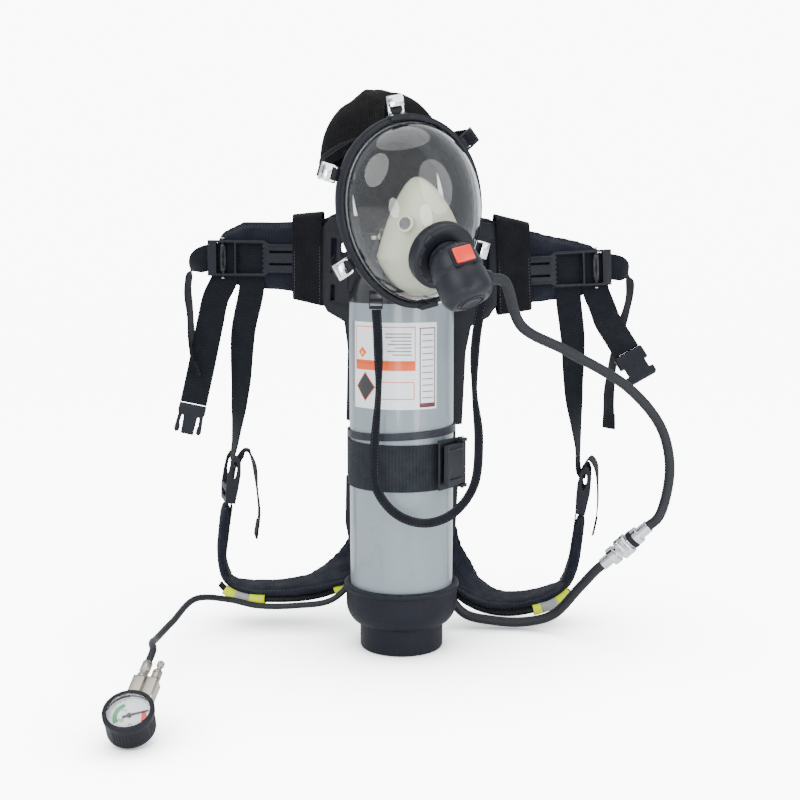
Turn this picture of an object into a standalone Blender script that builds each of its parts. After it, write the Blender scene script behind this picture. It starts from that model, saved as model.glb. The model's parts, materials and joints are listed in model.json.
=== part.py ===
"""Self-contained breathing apparatus standing on its cylinder boot, valve end up.

Metres, +Z up. The cylinder axis is the Z axis, the floor is z = 0 and the front is -Y.
"""

from math import cos, pi, radians, sin, sqrt

import bmesh
import bpy
import numpy as np
from mathutils import Matrix, Vector

GAP = 0.0003

# Cylinder and boot
CYL_R = 0.070
CYL_BASE_Z = 0.025
CYL_SHOULDER_Z = 0.470
CYL_NECK_Z = 0.5465
CYL_NECK_R = 0.0165
BOOT_RIM_Z = 0.0905
BOOT_R = 0.0757
FOOT_R = 0.0567

# Backplate
PLATE_FRONT = 0.076
PLATE_THICK = 0.006
PLATE_X = 0.004
PLATE_LOW, PLATE_HIGH = 0.100, 0.604
PLATE_ROLL = radians(2.0)
WING_HALF = 0.124
NOTCH_HALF = 0.0640
BAND_LOW, BAND_HIGH = 0.227, 0.289

# Waist belt
PAD_THICK = 0.014
BELT_YAW = radians(5.0)
WEB_W, WEB_T = 0.038, 0.0016
PULL_W = 0.036
SLIDER_LEN, SLIDER_H, SLIDER_T = 0.154, 0.050, 0.0065
PIN_R, ROLL_R = 0.0022, 0.0040

# Shoulder straps
STRAP_W, STRAP_T = 0.058, 0.014

# Cylinder band
BAND_IN, BAND_T = 0.0706, 0.0020
BUCKLE_ANGLE = radians(52.0)

# Hoses
MP_R, HP_R = 0.0068, 0.0044

# Face mask
MASK_C = Vector((0.0128, -0.125, 0.586))
MASK_YAW, MASK_PITCH, MASK_ROLL = radians(25.0), radians(6.0), radians(13.0)
OVAL_A, OVAL_B, OVAL_K = 0.088, 0.110, 0.09
VISOR_H, VISOR_T = 0.072, 0.0022
PORT_U, PORT_TILT = -0.045, radians(18.0)
PORT_R, NECK_R = 0.0412, 0.0225
DRUM_R, DRUM_L = 0.0315, 0.072

# Gauge
GAUGE_B = Vector((-0.3000, -0.3360, 0.0140))
GAUGE_TIP, GAUGE_TURN = radians(27.6), radians(-8.0)
GAUGE_R, GAUGE_H = 0.0288, 0.034

COLOURS = {
    "cylinder_paint": ((0.40, 0.45, 0.49), 0.0, 0.35, 1.0),
    "rubber": ((0.03, 0.032, 0.045), 0.0, 0.65, 1.0),
    "plate_plastic": ((0.022, 0.024, 0.030), 0.0, 0.45, 1.0),
    "webbing": ((0.010, 0.011, 0.013), 0.0, 0.85, 1.0),
    "padding": ((0.026, 0.026, 0.038), 0.0, 0.90, 1.0),
    "elastic": ((0.024, 0.020, 0.018), 0.0, 0.90, 1.0),
    "chrome": ((0.75, 0.76, 0.78), 1.0, 0.15, 1.0),
    "nickel": ((0.42, 0.38, 0.31), 1.0, 0.30, 1.0),
    "steel": ((0.60, 0.60, 0.60), 1.0, 0.30, 1.0),
    "hose": ((0.045, 0.045, 0.052), 0.0, 0.55, 1.0),
    "red": ((0.90, 0.08, 0.02), 0.0, 0.35, 1.0),
    "cream": ((0.68, 0.64, 0.48), 0.0, 0.50, 1.0),
    "clear": ((0.80, 0.86, 0.90), 0.0, 0.05, 0.3),
    "dial_white": ((0.85, 0.87, 0.88), 0.0, 0.50, 1.0),
    "net": ((0.008, 0.008, 0.010), 0.0, 0.90, 1.0),
}


def clear_scene():
    for obj in list(bpy.data.objects):
        bpy.data.objects.remove(obj, do_unlink=True)


def make_material(name):
    rgb, metal, rough, alpha = COLOURS[name]
    mat = bpy.data.materials.new(name)
    mat.use_nodes = True
    shader = mat.node_tree.nodes["Principled BSDF"]
    shader.inputs["Base Color"].default_value = (*rgb, 1.0)
    shader.inputs["Metallic"].default_value = metal
    shader.inputs["Roughness"].default_value = rough
    shader.inputs["Alpha"].default_value = alpha
    return mat


def collections():
    main = bpy.context.scene.collection
    cutters = bpy.data.collections.new("cutters")
    main.children.link(cutters)
    return main, cutters


clear_scene()
MAIN, CUTTERS = collections()
MATS = {name: make_material(name) for name in COLOURS}


# ---------------------------------------------------------------- helpers
def link(name, mesh, mat=None, matrix=None):
    """A new object in the scene, or in the cutter collection when it has no material."""
    obj = bpy.data.objects.new(name, mesh)
    if mat is None:
        CUTTERS.objects.link(obj)
        obj.hide_render = True
        obj.display_type = "WIRE"
    else:
        MAIN.objects.link(obj)
        mesh.materials.append(MATS[mat])
    if matrix is not None:
        obj.matrix_world = matrix
    return obj


def basis(origin, x, z):
    """Matrix with the given origin, local +Z along z and local +X as near x as it can be."""
    z = Vector(z).normalized()
    x = Vector(x)
    x = (x - x.dot(z) * z).normalized()
    y = z.cross(x)
    rows = [[x[i], y[i], z[i], origin[i]] for i in range(3)] + [[0, 0, 0, 1]]
    return Matrix(rows)


def lathe(name, profile, mat=None, matrix=None, steps=32, closed=False):
    """Turned solid about local Z: the profile runs down the outer side, from top to bottom."""
    mesh = bpy.data.meshes.new(name)
    edges = [(i, i + 1) for i in range(len(profile) - 1)]
    if closed:
        edges.append((len(profile) - 1, 0))
    mesh.from_pydata([(r, 0.0, z) for r, z in profile], edges, [])
    obj = link(name, mesh, mat, matrix)
    screw = obj.modifiers.new("turn", "SCREW")
    screw.axis = "Z"
    screw.steps = steps
    screw.render_steps = steps
    screw.use_merge_vertices = True
    screw.merge_threshold = 0.00001
    return obj


def rod(name, radius, low, high, mat=None, matrix=None, steps=24):
    profile = [(0, high), (radius, high), (radius, low), (0, low)]
    return lathe(name, profile, mat, matrix, steps)


def box(name, size, centre, mat=None, matrix=None, bevel=0.0):
    mesh = bpy.data.meshes.new(name)
    bm = bmesh.new()
    move = Matrix.Translation(centre) @ Matrix.Diagonal((*size, 1.0))
    bmesh.ops.create_cube(bm, size=1.0, matrix=move)
    bm.to_mesh(mesh)
    bm.free()
    obj = link(name, mesh, mat, matrix)
    if bevel:
        add_bevel(obj, bevel)
    return obj


def add_bevel(obj, width, segments=1):
    weld = obj.modifiers.new("weld", "WELD")
    weld.merge_threshold = 0.00001
    bevel = obj.modifiers.new("bevel", "BEVEL")
    bevel.width = width
    bevel.segments = segments
    bevel.limit_method = "ANGLE"
    bevel.angle_limit = radians(40)


def outline(name, loops, thick, mat=None, matrix=None, bevel=0.0):
    """Flat solid from closed loops in local XY, centred on local Z = 0; inner loops are holes."""
    curve = bpy.data.curves.new(name, "CURVE")
    curve.dimensions = "2D"
    curve.fill_mode = "BOTH"
    curve.extrude = thick / 2
    for points in loops:
        spline = curve.splines.new("POLY")
        spline.points.add(len(points) - 1)
        for point, (x, y) in zip(spline.points, points):
            point.co = (x, y, 0.0, 1.0)
        spline.use_cyclic_u = True
    holder = bpy.data.objects.new(name + "_curve", curve)
    MAIN.objects.link(holder)
    bpy.context.view_layer.update()
    flat = bpy.data.meshes.new_from_object(holder.evaluated_get(bpy.context.evaluated_depsgraph_get()))
    bpy.data.objects.remove(holder, do_unlink=True)
    flat.name = name
    flat.materials.clear()
    bm = bmesh.new()
    bm.from_mesh(flat)
    bmesh.ops.remove_doubles(bm, verts=bm.verts, dist=0.00001)
    if bevel:
        bmesh.ops.dissolve_limit(bm, angle_limit=radians(1), verts=bm.verts, edges=bm.edges)
    bmesh.ops.recalc_face_normals(bm, faces=bm.faces)
    bm.to_mesh(flat)
    bm.free()
    obj = link(name, flat, mat, matrix)
    if bevel:
        add_bevel(obj, bevel)
    return obj


def boolean(obj, other, operation):
    mod = obj.modifiers.new(operation.lower(), "BOOLEAN")
    mod.operation = operation
    mod.solver = "EXACT"
    mod.object = other
    return obj


def cut(obj, *others):
    for other in others:
        boolean(obj, other, "DIFFERENCE")
    return obj


def join(obj, *others):
    for other in others:
        boolean(obj, other, "UNION")
    return obj


def smooth(points, count):
    """A smooth curve through the points (Catmull-Rom by chord length), as count even samples."""
    pts = np.array(points, float)
    seg = np.sqrt(np.linalg.norm(np.diff(pts[:, :3], axis=0), axis=1))
    knots = np.concatenate([[0.0], np.cumsum(seg)])
    slopes = np.empty_like(pts)
    inner = np.diff(pts, axis=0) / np.diff(knots)[:, None]
    slopes[0], slopes[-1] = inner[0], inner[-1]
    before, after = np.diff(knots)[:-1, None], np.diff(knots)[1:, None]
    slopes[1:-1] = (inner[:-1] * after + inner[1:] * before) / (before + after)
    fine = np.linspace(0, knots[-1], 60 * len(pts))
    index = np.clip(np.searchsorted(knots, fine, side="right") - 1, 0, len(pts) - 2)
    width = (knots[index + 1] - knots[index])[:, None]
    t = (fine - knots[index])[:, None] / width
    dense = (
        (2 * t**3 - 3 * t**2 + 1) * pts[index]
        + (t**3 - 2 * t**2 + t) * width * slopes[index]
        + (-2 * t**3 + 3 * t**2) * pts[index + 1]
        + (t**3 - t**2) * width * slopes[index + 1]
    )
    run = np.concatenate([[0.0], np.cumsum(np.linalg.norm(np.diff(dense[:, :3], axis=0), axis=1))])
    even = np.linspace(0, run[-1], count)
    return np.stack([np.interp(even, run, dense[:, k]) for k in range(pts.shape[1])], axis=1)


def section(width, thick, corner):
    """Corner points of a strap section, across and through."""
    a, b = width / 2, thick / 2
    if corner == 0:
        return [(-a, -b), (a, -b), (a, b), (-a, b)]
    c = corner
    return [
        (-a, -b + c), (-a + c, -b), (a - c, -b), (a, -b + c), (a, b - c), (a - c, b), (-a + c, b),
        (-a, b - c),
    ]


def ribbon(name, stations, count, width, thick, mat=None, corner=0.0, loop=False):
    """Strap solid: each station is (x, y, z, sx, sy, sz), a point and the direction across."""
    rows = smooth(stations, count)
    pts, sides = rows[:, :3], rows[:, 3:]
    if loop:
        pts, sides = pts[:-1], sides[:-1]
        tangents = np.roll(pts, -1, axis=0) - np.roll(pts, 1, axis=0)
    else:
        tangents = np.gradient(pts, axis=0)
    bm = bmesh.new()
    rings = []
    for point, tangent, side in zip(pts, tangents, sides):
        t = Vector(tangent).normalized()
        s = Vector(side)
        s = (s - s.dot(t) * t).normalized()
        n = t.cross(s)
        ring = [bm.verts.new(Vector(point) + s * a + n * b) for a, b in section(width, thick, corner)]
        rings.append(ring)
    pairs = list(zip(rings, rings[1:] + rings[:1])) if loop else list(zip(rings, rings[1:]))
    for first, second in pairs:
        for i in range(len(first)):
            j = (i + 1) % len(first)
            bm.faces.new((first[i], first[j], second[j], second[i]))
    if not loop:
        bm.faces.new(list(reversed(rings[0])))
        bm.faces.new(rings[-1])
    bmesh.ops.recalc_face_normals(bm, faces=bm.faces)
    mesh = bpy.data.meshes.new(name)
    bm.to_mesh(mesh)
    bm.free()
    return link(name, mesh, mat)


def square_ends(rows, route):
    """The samples, with one more near each end so that the end faces stay square to the fitting."""
    first = np.array(route[0]) + unit(route[0], route[1]) * 0.005
    last = np.array(route[-1]) + unit(route[-1], route[-2]) * 0.005
    return np.vstack([rows[:1], first, rows[1:-1], last, rows[-1:]])


def unit(start, end):
    step = np.array(end) - np.array(start)
    return step / np.linalg.norm(step)


def tube(name, route, count, radius, mat):
    """Hose solid: a round tube along a smooth curve through the route points."""
    curve = bpy.data.curves.new(name, "CURVE")
    curve.dimensions = "3D"
    curve.bevel_depth = radius
    curve.bevel_resolution = 2
    curve.use_fill_caps = True
    curve.materials.append(MATS[mat])
    rows = square_ends(smooth(route, count), route)
    spline = curve.splines.new("POLY")
    spline.points.add(len(rows) - 1)
    for point, row in zip(spline.points, rows):
        point.co = (*row, 1.0)
    obj = bpy.data.objects.new(name, curve)
    MAIN.objects.link(obj)
    return obj


def ellipse(cx, cy, a, b, count):
    return [(cx + a * cos(2 * pi * i / count), cy + b * sin(2 * pi * i / count)) for i in range(count)]


def rect(x0, y0, x1, y1):
    return [(x0, y0), (x1, y0), (x1, y1), (x0, y1)]


def upright(y, roll=0.0, pivot=(0.0, 0.0)):
    """Local XY stands up as world XZ at depth y, rolled clockwise about a point seen from the front."""
    turn = Matrix.Rotation(roll, 4, "Y")
    hinge = Matrix.Translation((pivot[0], 0.0, pivot[1]))
    stand = Matrix.Rotation(pi / 2, 4, "X")
    return Matrix.Translation((0, y, 0)) @ hinge @ turn @ hinge.inverted() @ stand


def mask_axes():
    up = Vector((sin(MASK_PITCH) * sin(MASK_YAW), -sin(MASK_PITCH) * cos(MASK_YAW), cos(MASK_PITCH)))
    side = Vector((cos(MASK_YAW), sin(MASK_YAW), 0.0))
    out = Vector((sin(MASK_YAW) * cos(MASK_PITCH), -cos(MASK_YAW) * cos(MASK_PITCH), -sin(MASK_PITCH)))
    w = cos(MASK_ROLL) * side + sin(MASK_ROLL) * up
    return w, out


MASK_W, MASK_N = mask_axes()
MASK = basis(MASK_C, MASK_W, MASK_N)


def on_mask(a, b, h):
    return MASK @ Vector((a, b, h))


# ---------------------------------------------------------------- cylinder
def bottle_base(r):
    return 0.075 - 0.050 * sqrt(1 - (r / CYL_R) ** 2)


def make_cylinder():
    neck_angle = np.arcsin(CYL_NECK_R / CYL_R)
    top = [(0, CYL_NECK_Z), (CYL_NECK_R, CYL_NECK_Z)]
    height = 0.066
    for a in np.linspace(neck_angle, pi / 2, 8):
        top.append((CYL_R * sin(a), CYL_SHOULDER_Z + height * cos(a)))
    low = [(r, bottle_base(r)) for r in (CYL_R, 0.067, 0.060, 0.048, 0.030)]
    lathe("cylinder", top + low + [(0, CYL_BASE_Z)], "cylinder_paint", steps=28)


def make_boot():
    outer = [(0.0775, BOOT_RIM_Z), (0.0788, 0.0885), (0.0786, 0.0850), (BOOT_R, 0.0825)]
    outer += [(BOOT_R, 0.0620), (0.0740, 0.0520), (0.0695, 0.0430), (0.0640, 0.0375)]
    outer += [(0.0580, 0.0350), (FOOT_R, 0.0310), (FOOT_R, 0.0015), (0.0552, 0.0)]
    inner = [(0.0480, 0.0)]
    for r in (0.0480, 0.0600, 0.0670):
        inner.append((r, bottle_base(r) - 0.0012))
    inner += [(CYL_R + 0.0006, 0.0740), (CYL_R + 0.0006, BOOT_RIM_Z)]
    lathe("cylinder_boot", outer + inner, "rubber", steps=28, closed=True)


def make_bands():
    ring = [(0.0734, 0.0050), (0.0734, -0.0050), (0.0709, -0.0050), (0.0709, 0.0050)]
    tilt = Matrix.Translation((0, 0, 0.3005)) @ Matrix.Rotation(radians(-3), 4, "Y")
    lathe("rubber_band", ring, "elastic", tilt, steps=32, closed=True)
    r = BAND_IN + BAND_T / 2
    low = (BAND_LOW + BAND_HIGH) / 2
    route = []
    for a in np.linspace(-95, 95, 20):
        route.append((r * sin(radians(a)), -r * cos(radians(a)), low, 0, 0, 1))
    edge, back = 0.0745, PLATE_FRONT + PLATE_THICK + 0.0016
    route += [(edge, 0.045, low, 0, 0, 1), (edge + 0.0005, 0.070, low, 0, 0, 1)]
    route += [(edge - 0.0022, back - 0.0012, low, 0, 0, 1), (edge - 0.007, back, low, 0, 0, 1)]
    route += [(x, back, low, 0, 0, 1) for x in (0.045, 0.0, -0.045, -edge + 0.007)]
    route += [(-edge + 0.0022, back - 0.0012, low, 0, 0, 1), (-edge - 0.0005, 0.070, low, 0, 0, 1)]
    route += [(-edge, 0.045, low, 0, 0, 1), route[0]]
    ribbon("cylinder_band", route, 57, BAND_HIGH - BAND_LOW, BAND_T, "webbing", loop=True)


def buckle_matrix():
    """Local X outward from the cylinder, local Y round it towards the back, local Z up."""
    out = (sin(BUCKLE_ANGLE), -cos(BUCKLE_ANGLE), 0)
    return basis((0, 0, (BAND_LOW + BAND_HIGH) / 2 + 0.004), out, (0, 0, 1))


def make_cam_buckle():
    frame = buckle_matrix()
    base = box("cam_buckle_base", (0.0042, 0.050, 0.066), (0.0806, 0, 0), "plate_plastic", frame, 0.0008)
    lugs = [
        box(f"lug_{i}", (0.0130, 0.0110, 0.0050), (0.0868, 0.017, i * 0.0305), None, frame)
        for i in (-1, 1)
    ]
    bore = rod(
        "pin_bore", 0.0018 + GAP, -0.05, 0.05, None, frame @ Matrix.Translation((0.0888, 0.017, 0)), 20,
    )
    cut(join(base, *lugs), bore)
    hinge = frame @ Matrix.Translation((0.0888, 0.017, 0))
    rod("cam_pin", 0.0018, -0.0345, 0.0345, "steel", hinge, 16)
    lever = rod("cam_lever", 0.0046, -0.0275, 0.0275, "plate_plastic", hinge, 24)
    blade = outline(
        "cam_blade", [rect(-0.041, -0.0275, -0.001, 0.0275)], 0.0036, None,
        hinge @ basis((0.0012, 0, 0), (0, 1, 0), (1, 0, 0)),
    )
    lip = box("cam_lip", (0.0050, 0.0040, 0.0550), (0.0042, -0.0389, 0), None, hinge)
    inner = rod("lever_bore", 0.0018 + GAP, -0.05, 0.05, None, hinge, 20)
    cut(join(lever, blade, lip), inner)


# ---------------------------------------------------------------- backplate
def make_backplate():
    half = [(0.040, PLATE_LOW), (0.062, 0.104), (0.072, 0.118), (0.079, 0.150), (0.080, 0.218)]
    half += [(NOTCH_HALF, 0.221), (NOTCH_HALF, 0.295), (0.082, 0.298), (0.083, 0.400), (0.089, 0.437)]
    half += [(0.113, 0.450), (WING_HALF, 0.468), (WING_HALF, 0.566), (0.113, 0.580), (0.072, 0.584)]
    half += [(0.060, 0.600), (0.050, PLATE_HIGH)]
    left = [(-x, z) for x, z in reversed(half)]
    edge = [(x + PLATE_X, z) for x, z in half + left]
    loops = [edge]
    for side in (-1, 1):
        x = PLATE_X + side * 0.106
        loops.append(rect(x - 0.0035, 0.505, x + 0.0035, 0.552))
        loops.append(ellipse(PLATE_X + side * 0.092, 0.540, 0.005, 0.007, 12))
        loops.append(rect(x - 0.0025, 0.466, x + 0.0025, 0.488))
    loops.append(rect(PLATE_X - 0.030, 0.115, PLATE_X + 0.030, 0.140))
    loops.append(rect(PLATE_X - 0.034, 0.325, PLATE_X + 0.034, 0.410))
    middle = PLATE_FRONT + PLATE_THICK / 2
    stand = upright(middle, PLATE_ROLL, (PLATE_X, 0.30))
    plate = outline("backplate", loops, PLATE_THICK, "plate_plastic", stand)
    panels = []
    for side in (-1, 1):
        x = PLATE_X + side * 0.070
        loop = [rect(x - 0.015, 0.478, x + 0.015, 0.560)]
        panels.append(
            outline(f"panel_{side}", loop, 0.005, None, stand @ Matrix.Translation((0, 0, 0.0020)))
        )
    join(plate, *panels)


# ---------------------------------------------------------------- waist belt
BELT = {
    -1: {"name": "left", "origin": (-0.115, 0.0, 0.527), "tilt": radians(0.5), "wrap": (0.002, 0.043)},
    1: {"name": "right", "origin": (0.138, 0.0, 0.5085), "tilt": radians(2.5), "wrap": (0.002, 0.049)},
}
PAD = {
    -1: [(-0.030, 0.072), (0.005, 0.061), (0.048, 0.058), (0.120, 0.056), (0.150, 0.040), (0.166, 0.008)]
    + [
        (0.164, -0.022), (0.142, -0.042), (0.088, -0.049), (0.045, -0.053), (0.000, -0.062),
        (-0.030, -0.072),
    ],
    1: [(-0.036, 0.083), (-0.007, 0.080), (0.030, 0.069), (0.085, 0.053), (0.120, 0.044), (0.148, 0.031)]
    + [(0.158, 0.006), (0.153, -0.024), (0.131, -0.044), (0.085, -0.050), (0.041, -0.052), (-0.001, -0.057)]
    + [(-0.036, -0.063)],
}
PAD_FRONT = 0.0862
WEB_Y = 0.0843
SLIDER_Y = 0.0788
PIN_FROM_END = 0.0217


def belt_matrix(side):
    """Local X outward along the belt, local Y up the belt, local Z towards the front or the back."""
    spec = BELT[side]
    x = Vector((side * cos(BELT_YAW) * cos(spec["tilt"]), sin(BELT_YAW), sin(spec["tilt"])))
    z = x.cross(Vector((0, 0, 1))).normalized()
    return basis(spec["origin"], x, z), -side


def belt_point(side, x, z, depth):
    """World point at x outward, z up and depth back from the belt's origin plane."""
    frame, sign = belt_matrix(side)
    return frame @ Vector((x, z, -depth if sign < 0 else depth))


def belt_layer(side, depth):
    frame, sign = belt_matrix(side)
    return frame @ Matrix.Translation((0, 0, -depth if sign < 0 else depth))


def make_waist_pad(side):
    name = BELT[side]["name"]
    layer = belt_layer(side, PAD_FRONT + PAD_THICK / 2)
    outline(f"waist_pad_{name}", [PAD[side]], PAD_THICK, "padding", layer, 0.0035)


def edge_height(side, x, top):
    points = [p for p in PAD[side] if (p[1] > 0) == top]
    points.sort()
    return float(np.interp(x, [p[0] for p in points], [p[1] for p in points]))


def wrap_loop(side, x0, x1, grow):
    low = [(x, edge_height(side, x, False) - grow) for x in (x0, x1)]
    high = [(x, edge_height(side, x, True) + grow) for x in (x1, x0)]
    return low + high


def make_belt_wrap(side):
    name = BELT[side]["name"]
    x0, x1 = BELT[side]["wrap"]
    front, back = 0.0748, PAD_FRONT + PAD_THICK + 0.0008
    middle, inner = (front + back) / 2, back - front
    shell = outline(
        f"belt_wrap_{name}", [wrap_loop(side, x0, x1, 0.0028)], inner + 0.003, "elastic",
        belt_layer(side, middle),
    )
    hole = outline(
        f"wrap_hole_{name}", [wrap_loop(side, x0 - 0.01, x1 + 0.01, 0.0010)], inner, None,
        belt_layer(side, middle),
    )
    cut(shell, hole)


def make_belt_adjuster(side):
    name = BELT[side]["name"]
    end = 0.164
    h = SLIDER_H / 2
    waist = h - 0.0052
    loops = [[(end, -h), (end, h), (end - 0.080, h), (end - 0.088, waist), (end - SLIDER_LEN, waist)]]
    loops[0] += [(end - SLIDER_LEN, -waist), (end - 0.088, -waist), (end - 0.080, -h)]
    loops.append(rect(end - 0.038, -h + 0.0036, end - 0.0125, h - 0.0036))
    teeth = [(end - 0.080 + (0.003 if i % 2 else 0.0), (h - 0.0044) * (i / 6 - 1)) for i in range(13)]
    loops.append([(end - 0.041, -h + 0.0040)] + [(end - 0.041, h - 0.0040)] + teeth[::-1])
    for z in (-0.0095, 0.0075):
        loops.append(rect(end - 0.120, z, end - 0.088, z + 0.0032))
    frame = outline(f"belt_adjuster_{name}", loops, SLIDER_T, "plate_plastic", belt_layer(side, SLIDER_Y))
    axis = belt_point(side, end - PIN_FROM_END, 0, SLIDER_Y)
    up = belt_point(side, end - PIN_FROM_END, 1, SLIDER_Y) - axis
    pose = basis(axis, (1, 0, 0), up)
    cut(frame, rod(f"roller_bore_{name}", PIN_R + GAP, -0.04, 0.04, None, pose, 20))
    profile = [(0, h + 0.0022), (PIN_R, h + 0.0022), (PIN_R, h - 0.006), (ROLL_R, h - 0.0065)]
    profile += [(r, -z) for r, z in reversed(profile)]
    lathe(f"adjuster_roller_{name}", profile, "steel", pose, steps=20)


def belt_stations(side):
    """Hanging waist strap, from behind the slider down to its buckle."""
    flat = [belt_point(side, 0.142, z, WEB_Y) for z in (0.021, 0.005, -0.012, -0.029)]
    along = tuple(belt_point(side, 1, 0, 0) - belt_point(side, 0, 0, 0))
    across = [tuple(side * c for c in along)] * 4
    if side < 0:
        rest = [
            (-0.2620, 0.0945, 0.472), (-0.2690, 0.090, 0.440), (-0.2820, 0.080, 0.375),
            (-0.2925, 0.070, 0.3250),
        ]
        across += [across[0], (1, 0, 0.1), (1, 0, 0.15), (1, 0, 0.15)]
    else:
        rest = [
            (0.2840, 0.0945, 0.458), (0.2900, 0.090, 0.441), (0.3020, 0.080, 0.420),
            (0.3150, 0.070, 0.3980),
        ]
        across += [across[0], (1, 0, 0.25), (1, 0, 0.40), (1, 0, 0.45)]
    return [(*p, *a) for p, a in zip([tuple(p) for p in flat] + rest, across)]


def belt_tail_stations(side):
    """Free end of the waist strap: out from behind the slider, over its end and down."""
    start = belt_point(side, 0.128, 0, WEB_Y)
    over = belt_point(side, 0.166, 0, WEB_Y)
    if side < 0:
        rest = [
            (-0.2945, 0.100, 0.515), (-0.3010, 0.098, 0.490), (-0.2975, 0.092, 0.440),
            (-0.2935, 0.086, 0.395), (-0.2825, 0.082, 0.362),
        ]
        across = [
            (0, 0, 1), (0, 0, 1), (0.2, 0.5, 0.8), (0.1, 1, 0.2), (0.1, 1, 0), (0.1, 1, 0), (0.1, 1, 0),
        ]
    else:
        rest = [
            (0.3190, 0.104, 0.508), (0.3240, 0.106, 0.480), (0.3110, 0.108, 0.420),
            (0.2980, 0.104, 0.350), (0.2970, 0.100, 0.285),
        ]
        across = [
            (0, 0, 1), (0, 0, 1), (-0.2, 0.5, 0.8), (-0.1, 1, 0.2), (-0.1, 1, 0), (-0.2, 1, 0),
            (-0.3, 1, 0),
        ]
    points = [tuple(start), tuple(over)] + rest
    return [(*p, *a) for p, a in zip(points, across)]


def make_belt_webbing(side):
    name = BELT[side]["name"]
    main = ribbon(f"waist_webbing_{name}", belt_stations(side), 18, WEB_W, WEB_T, "webbing")
    tail = ribbon(f"waist_tail_{name}", belt_tail_stations(side), 20, WEB_W * 0.94, WEB_T * 0.80)
    join(main, tail)


def buckle_pose(side):
    """Local Z down the hanging strap, local X across it, at the strap's lower end."""
    rows = smooth(belt_stations(side), 18)
    low, before = Vector(rows[-1][:3]), Vector(rows[-2][:3])
    down = (low - before).normalized()
    return basis(low + down * 2 * GAP, rows[-1][3:], down)


def make_side_release():
    male = buckle_pose(-1) @ Matrix.Rotation(-pi / 2, 4, "X")
    shape = [
        (-0.0190, 0.0), (0.0190, 0.0), (0.0190, -0.0120), (0.0175, -0.0150), (0.0185, -0.0300),
        (0.0192, -0.0380),
    ]
    shape += [(0.0165, -0.0425), (0.0125, -0.0400), (0.0125, -0.0330), (0.0140, -0.0290), (0.0130, -0.0170)]
    shape += [
        (0.0095, -0.0170), (0.0085, -0.0430), (-0.0085, -0.0430), (-0.0095, -0.0170),
        (-0.0130, -0.0170),
    ]
    shape += [
        (-0.0140, -0.0290), (-0.0125, -0.0330), (-0.0125, -0.0400), (-0.0165, -0.0425),
        (-0.0192, -0.0380),
    ]
    shape += [(-0.0185, -0.0300), (-0.0175, -0.0150), (-0.0190, -0.0120)]
    outline("side_release_male", [shape], 0.0072, "plate_plastic", male, 0.0008)
    pose = buckle_pose(1)
    body = box(
        "side_release_female", (0.0430, 0.0125, 0.0440), (0, 0, 0.0222), "plate_plastic", pose, 0.0020,
    )
    mouth = box("female_mouth", (0.0350, 0.0078, 0.0300), (0, 0, 0.0360), None, pose)
    windows = [
        box(f"female_window_{s}", (0.0100, 0.0300, 0.0140), (s * 0.0205, 0, 0.0260), None, pose)
        for s in (-1, 1)
    ]
    cut(body, mouth, *windows)


# ---------------------------------------------------------------- shoulder straps
def shoulder_web_stations(side):
    flat = [belt_point(side, 0.1035, z, WEB_Y) for z in (0.021, 0.000, -0.022, -0.044)]
    along = tuple(belt_point(side, 1, 0, 0) - belt_point(side, 0, 0, 0))
    across = [tuple(side * c for c in along)] * 4
    if side < 0:
        rest = [
            (-0.2240, 0.097, 0.425), (-0.2300, 0.102, 0.345), (-0.2395, 0.107, 0.268),
            (-0.2440, 0.108, 0.236),
        ]
        rest += [
            (-0.2395, 0.109, 0.229), (-0.2335, 0.1115, 0.242), (-0.2240, 0.1115, 0.2505),
            (-0.2140, 0.107, 0.236),
        ]
        rest += [(-0.2090, 0.102, 0.200), (-0.2060, 0.101, 0.160), (-0.2110, 0.100, 0.126)]
        across += [(1, -0.25, 0), (0.8, -0.6, 0), (0.35, -0.9, 0), (0.3, -1, 0)]
        across += [
            (0.3, -1, 0), (0.3, -1, 0), (0.3, -1, 0), (0.3, -1, 0), (0.2, -1, 0), (0.2, -1, 0),
            (0.2, -1, 0),
        ]
    else:
        rest = [
            (0.2430, 0.097, 0.415), (0.2465, 0.102, 0.340), (0.2545, 0.107, 0.262),
            (0.2570, 0.108, 0.222),
        ]
        rest += [
            (0.2615, 0.108, 0.216), (0.2665, 0.108, 0.232), (0.2720, 0.107, 0.2420),
            (0.2800, 0.104, 0.232),
        ]
        rest += [(0.2840, 0.102, 0.195), (0.2830, 0.101, 0.160), (0.2770, 0.100, 0.130)]
        across += [(1, 0.25, 0), (0.8, 0.6, 0), (0.35, 0.9, 0), (0.3, 1, 0)]
        across += [
            (0.3, 1, 0), (0.3, 1, 0), (0.3, 1, 0), (0.3, 1, 0), (0.2, 1, 0), (0.2, 1, 0), (0.2, 1, 0),
        ]
    return [(*p, *a) for p, a in zip([tuple(p) for p in flat] + rest, across)]


def make_shoulder_webbing(side):
    name = BELT[side]["name"]
    ribbon(f"shoulder_webbing_{name}", shoulder_web_stations(side), 46, PULL_W, WEB_T, "webbing")


ADJUST = {
    -1: {"origin": (-0.2462, 0.108, 0.2120), "across": (0.28, -0.96, 0.0), "up": (0.14, 0.0, 0.99)},
    1: {"origin": (0.2640, 0.108, 0.1960), "across": (0.20, 0.98, 0.0), "up": (0.12, 0.0, 0.99)},
}


def adjuster_pose(side):
    """Local Z across the strap, local Y up it and local X through it."""
    spec = ADJUST[side]
    across = Vector(spec["across"]).normalized()
    through = Vector(spec["up"]).cross(across)
    return basis(spec["origin"], through, across)


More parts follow.
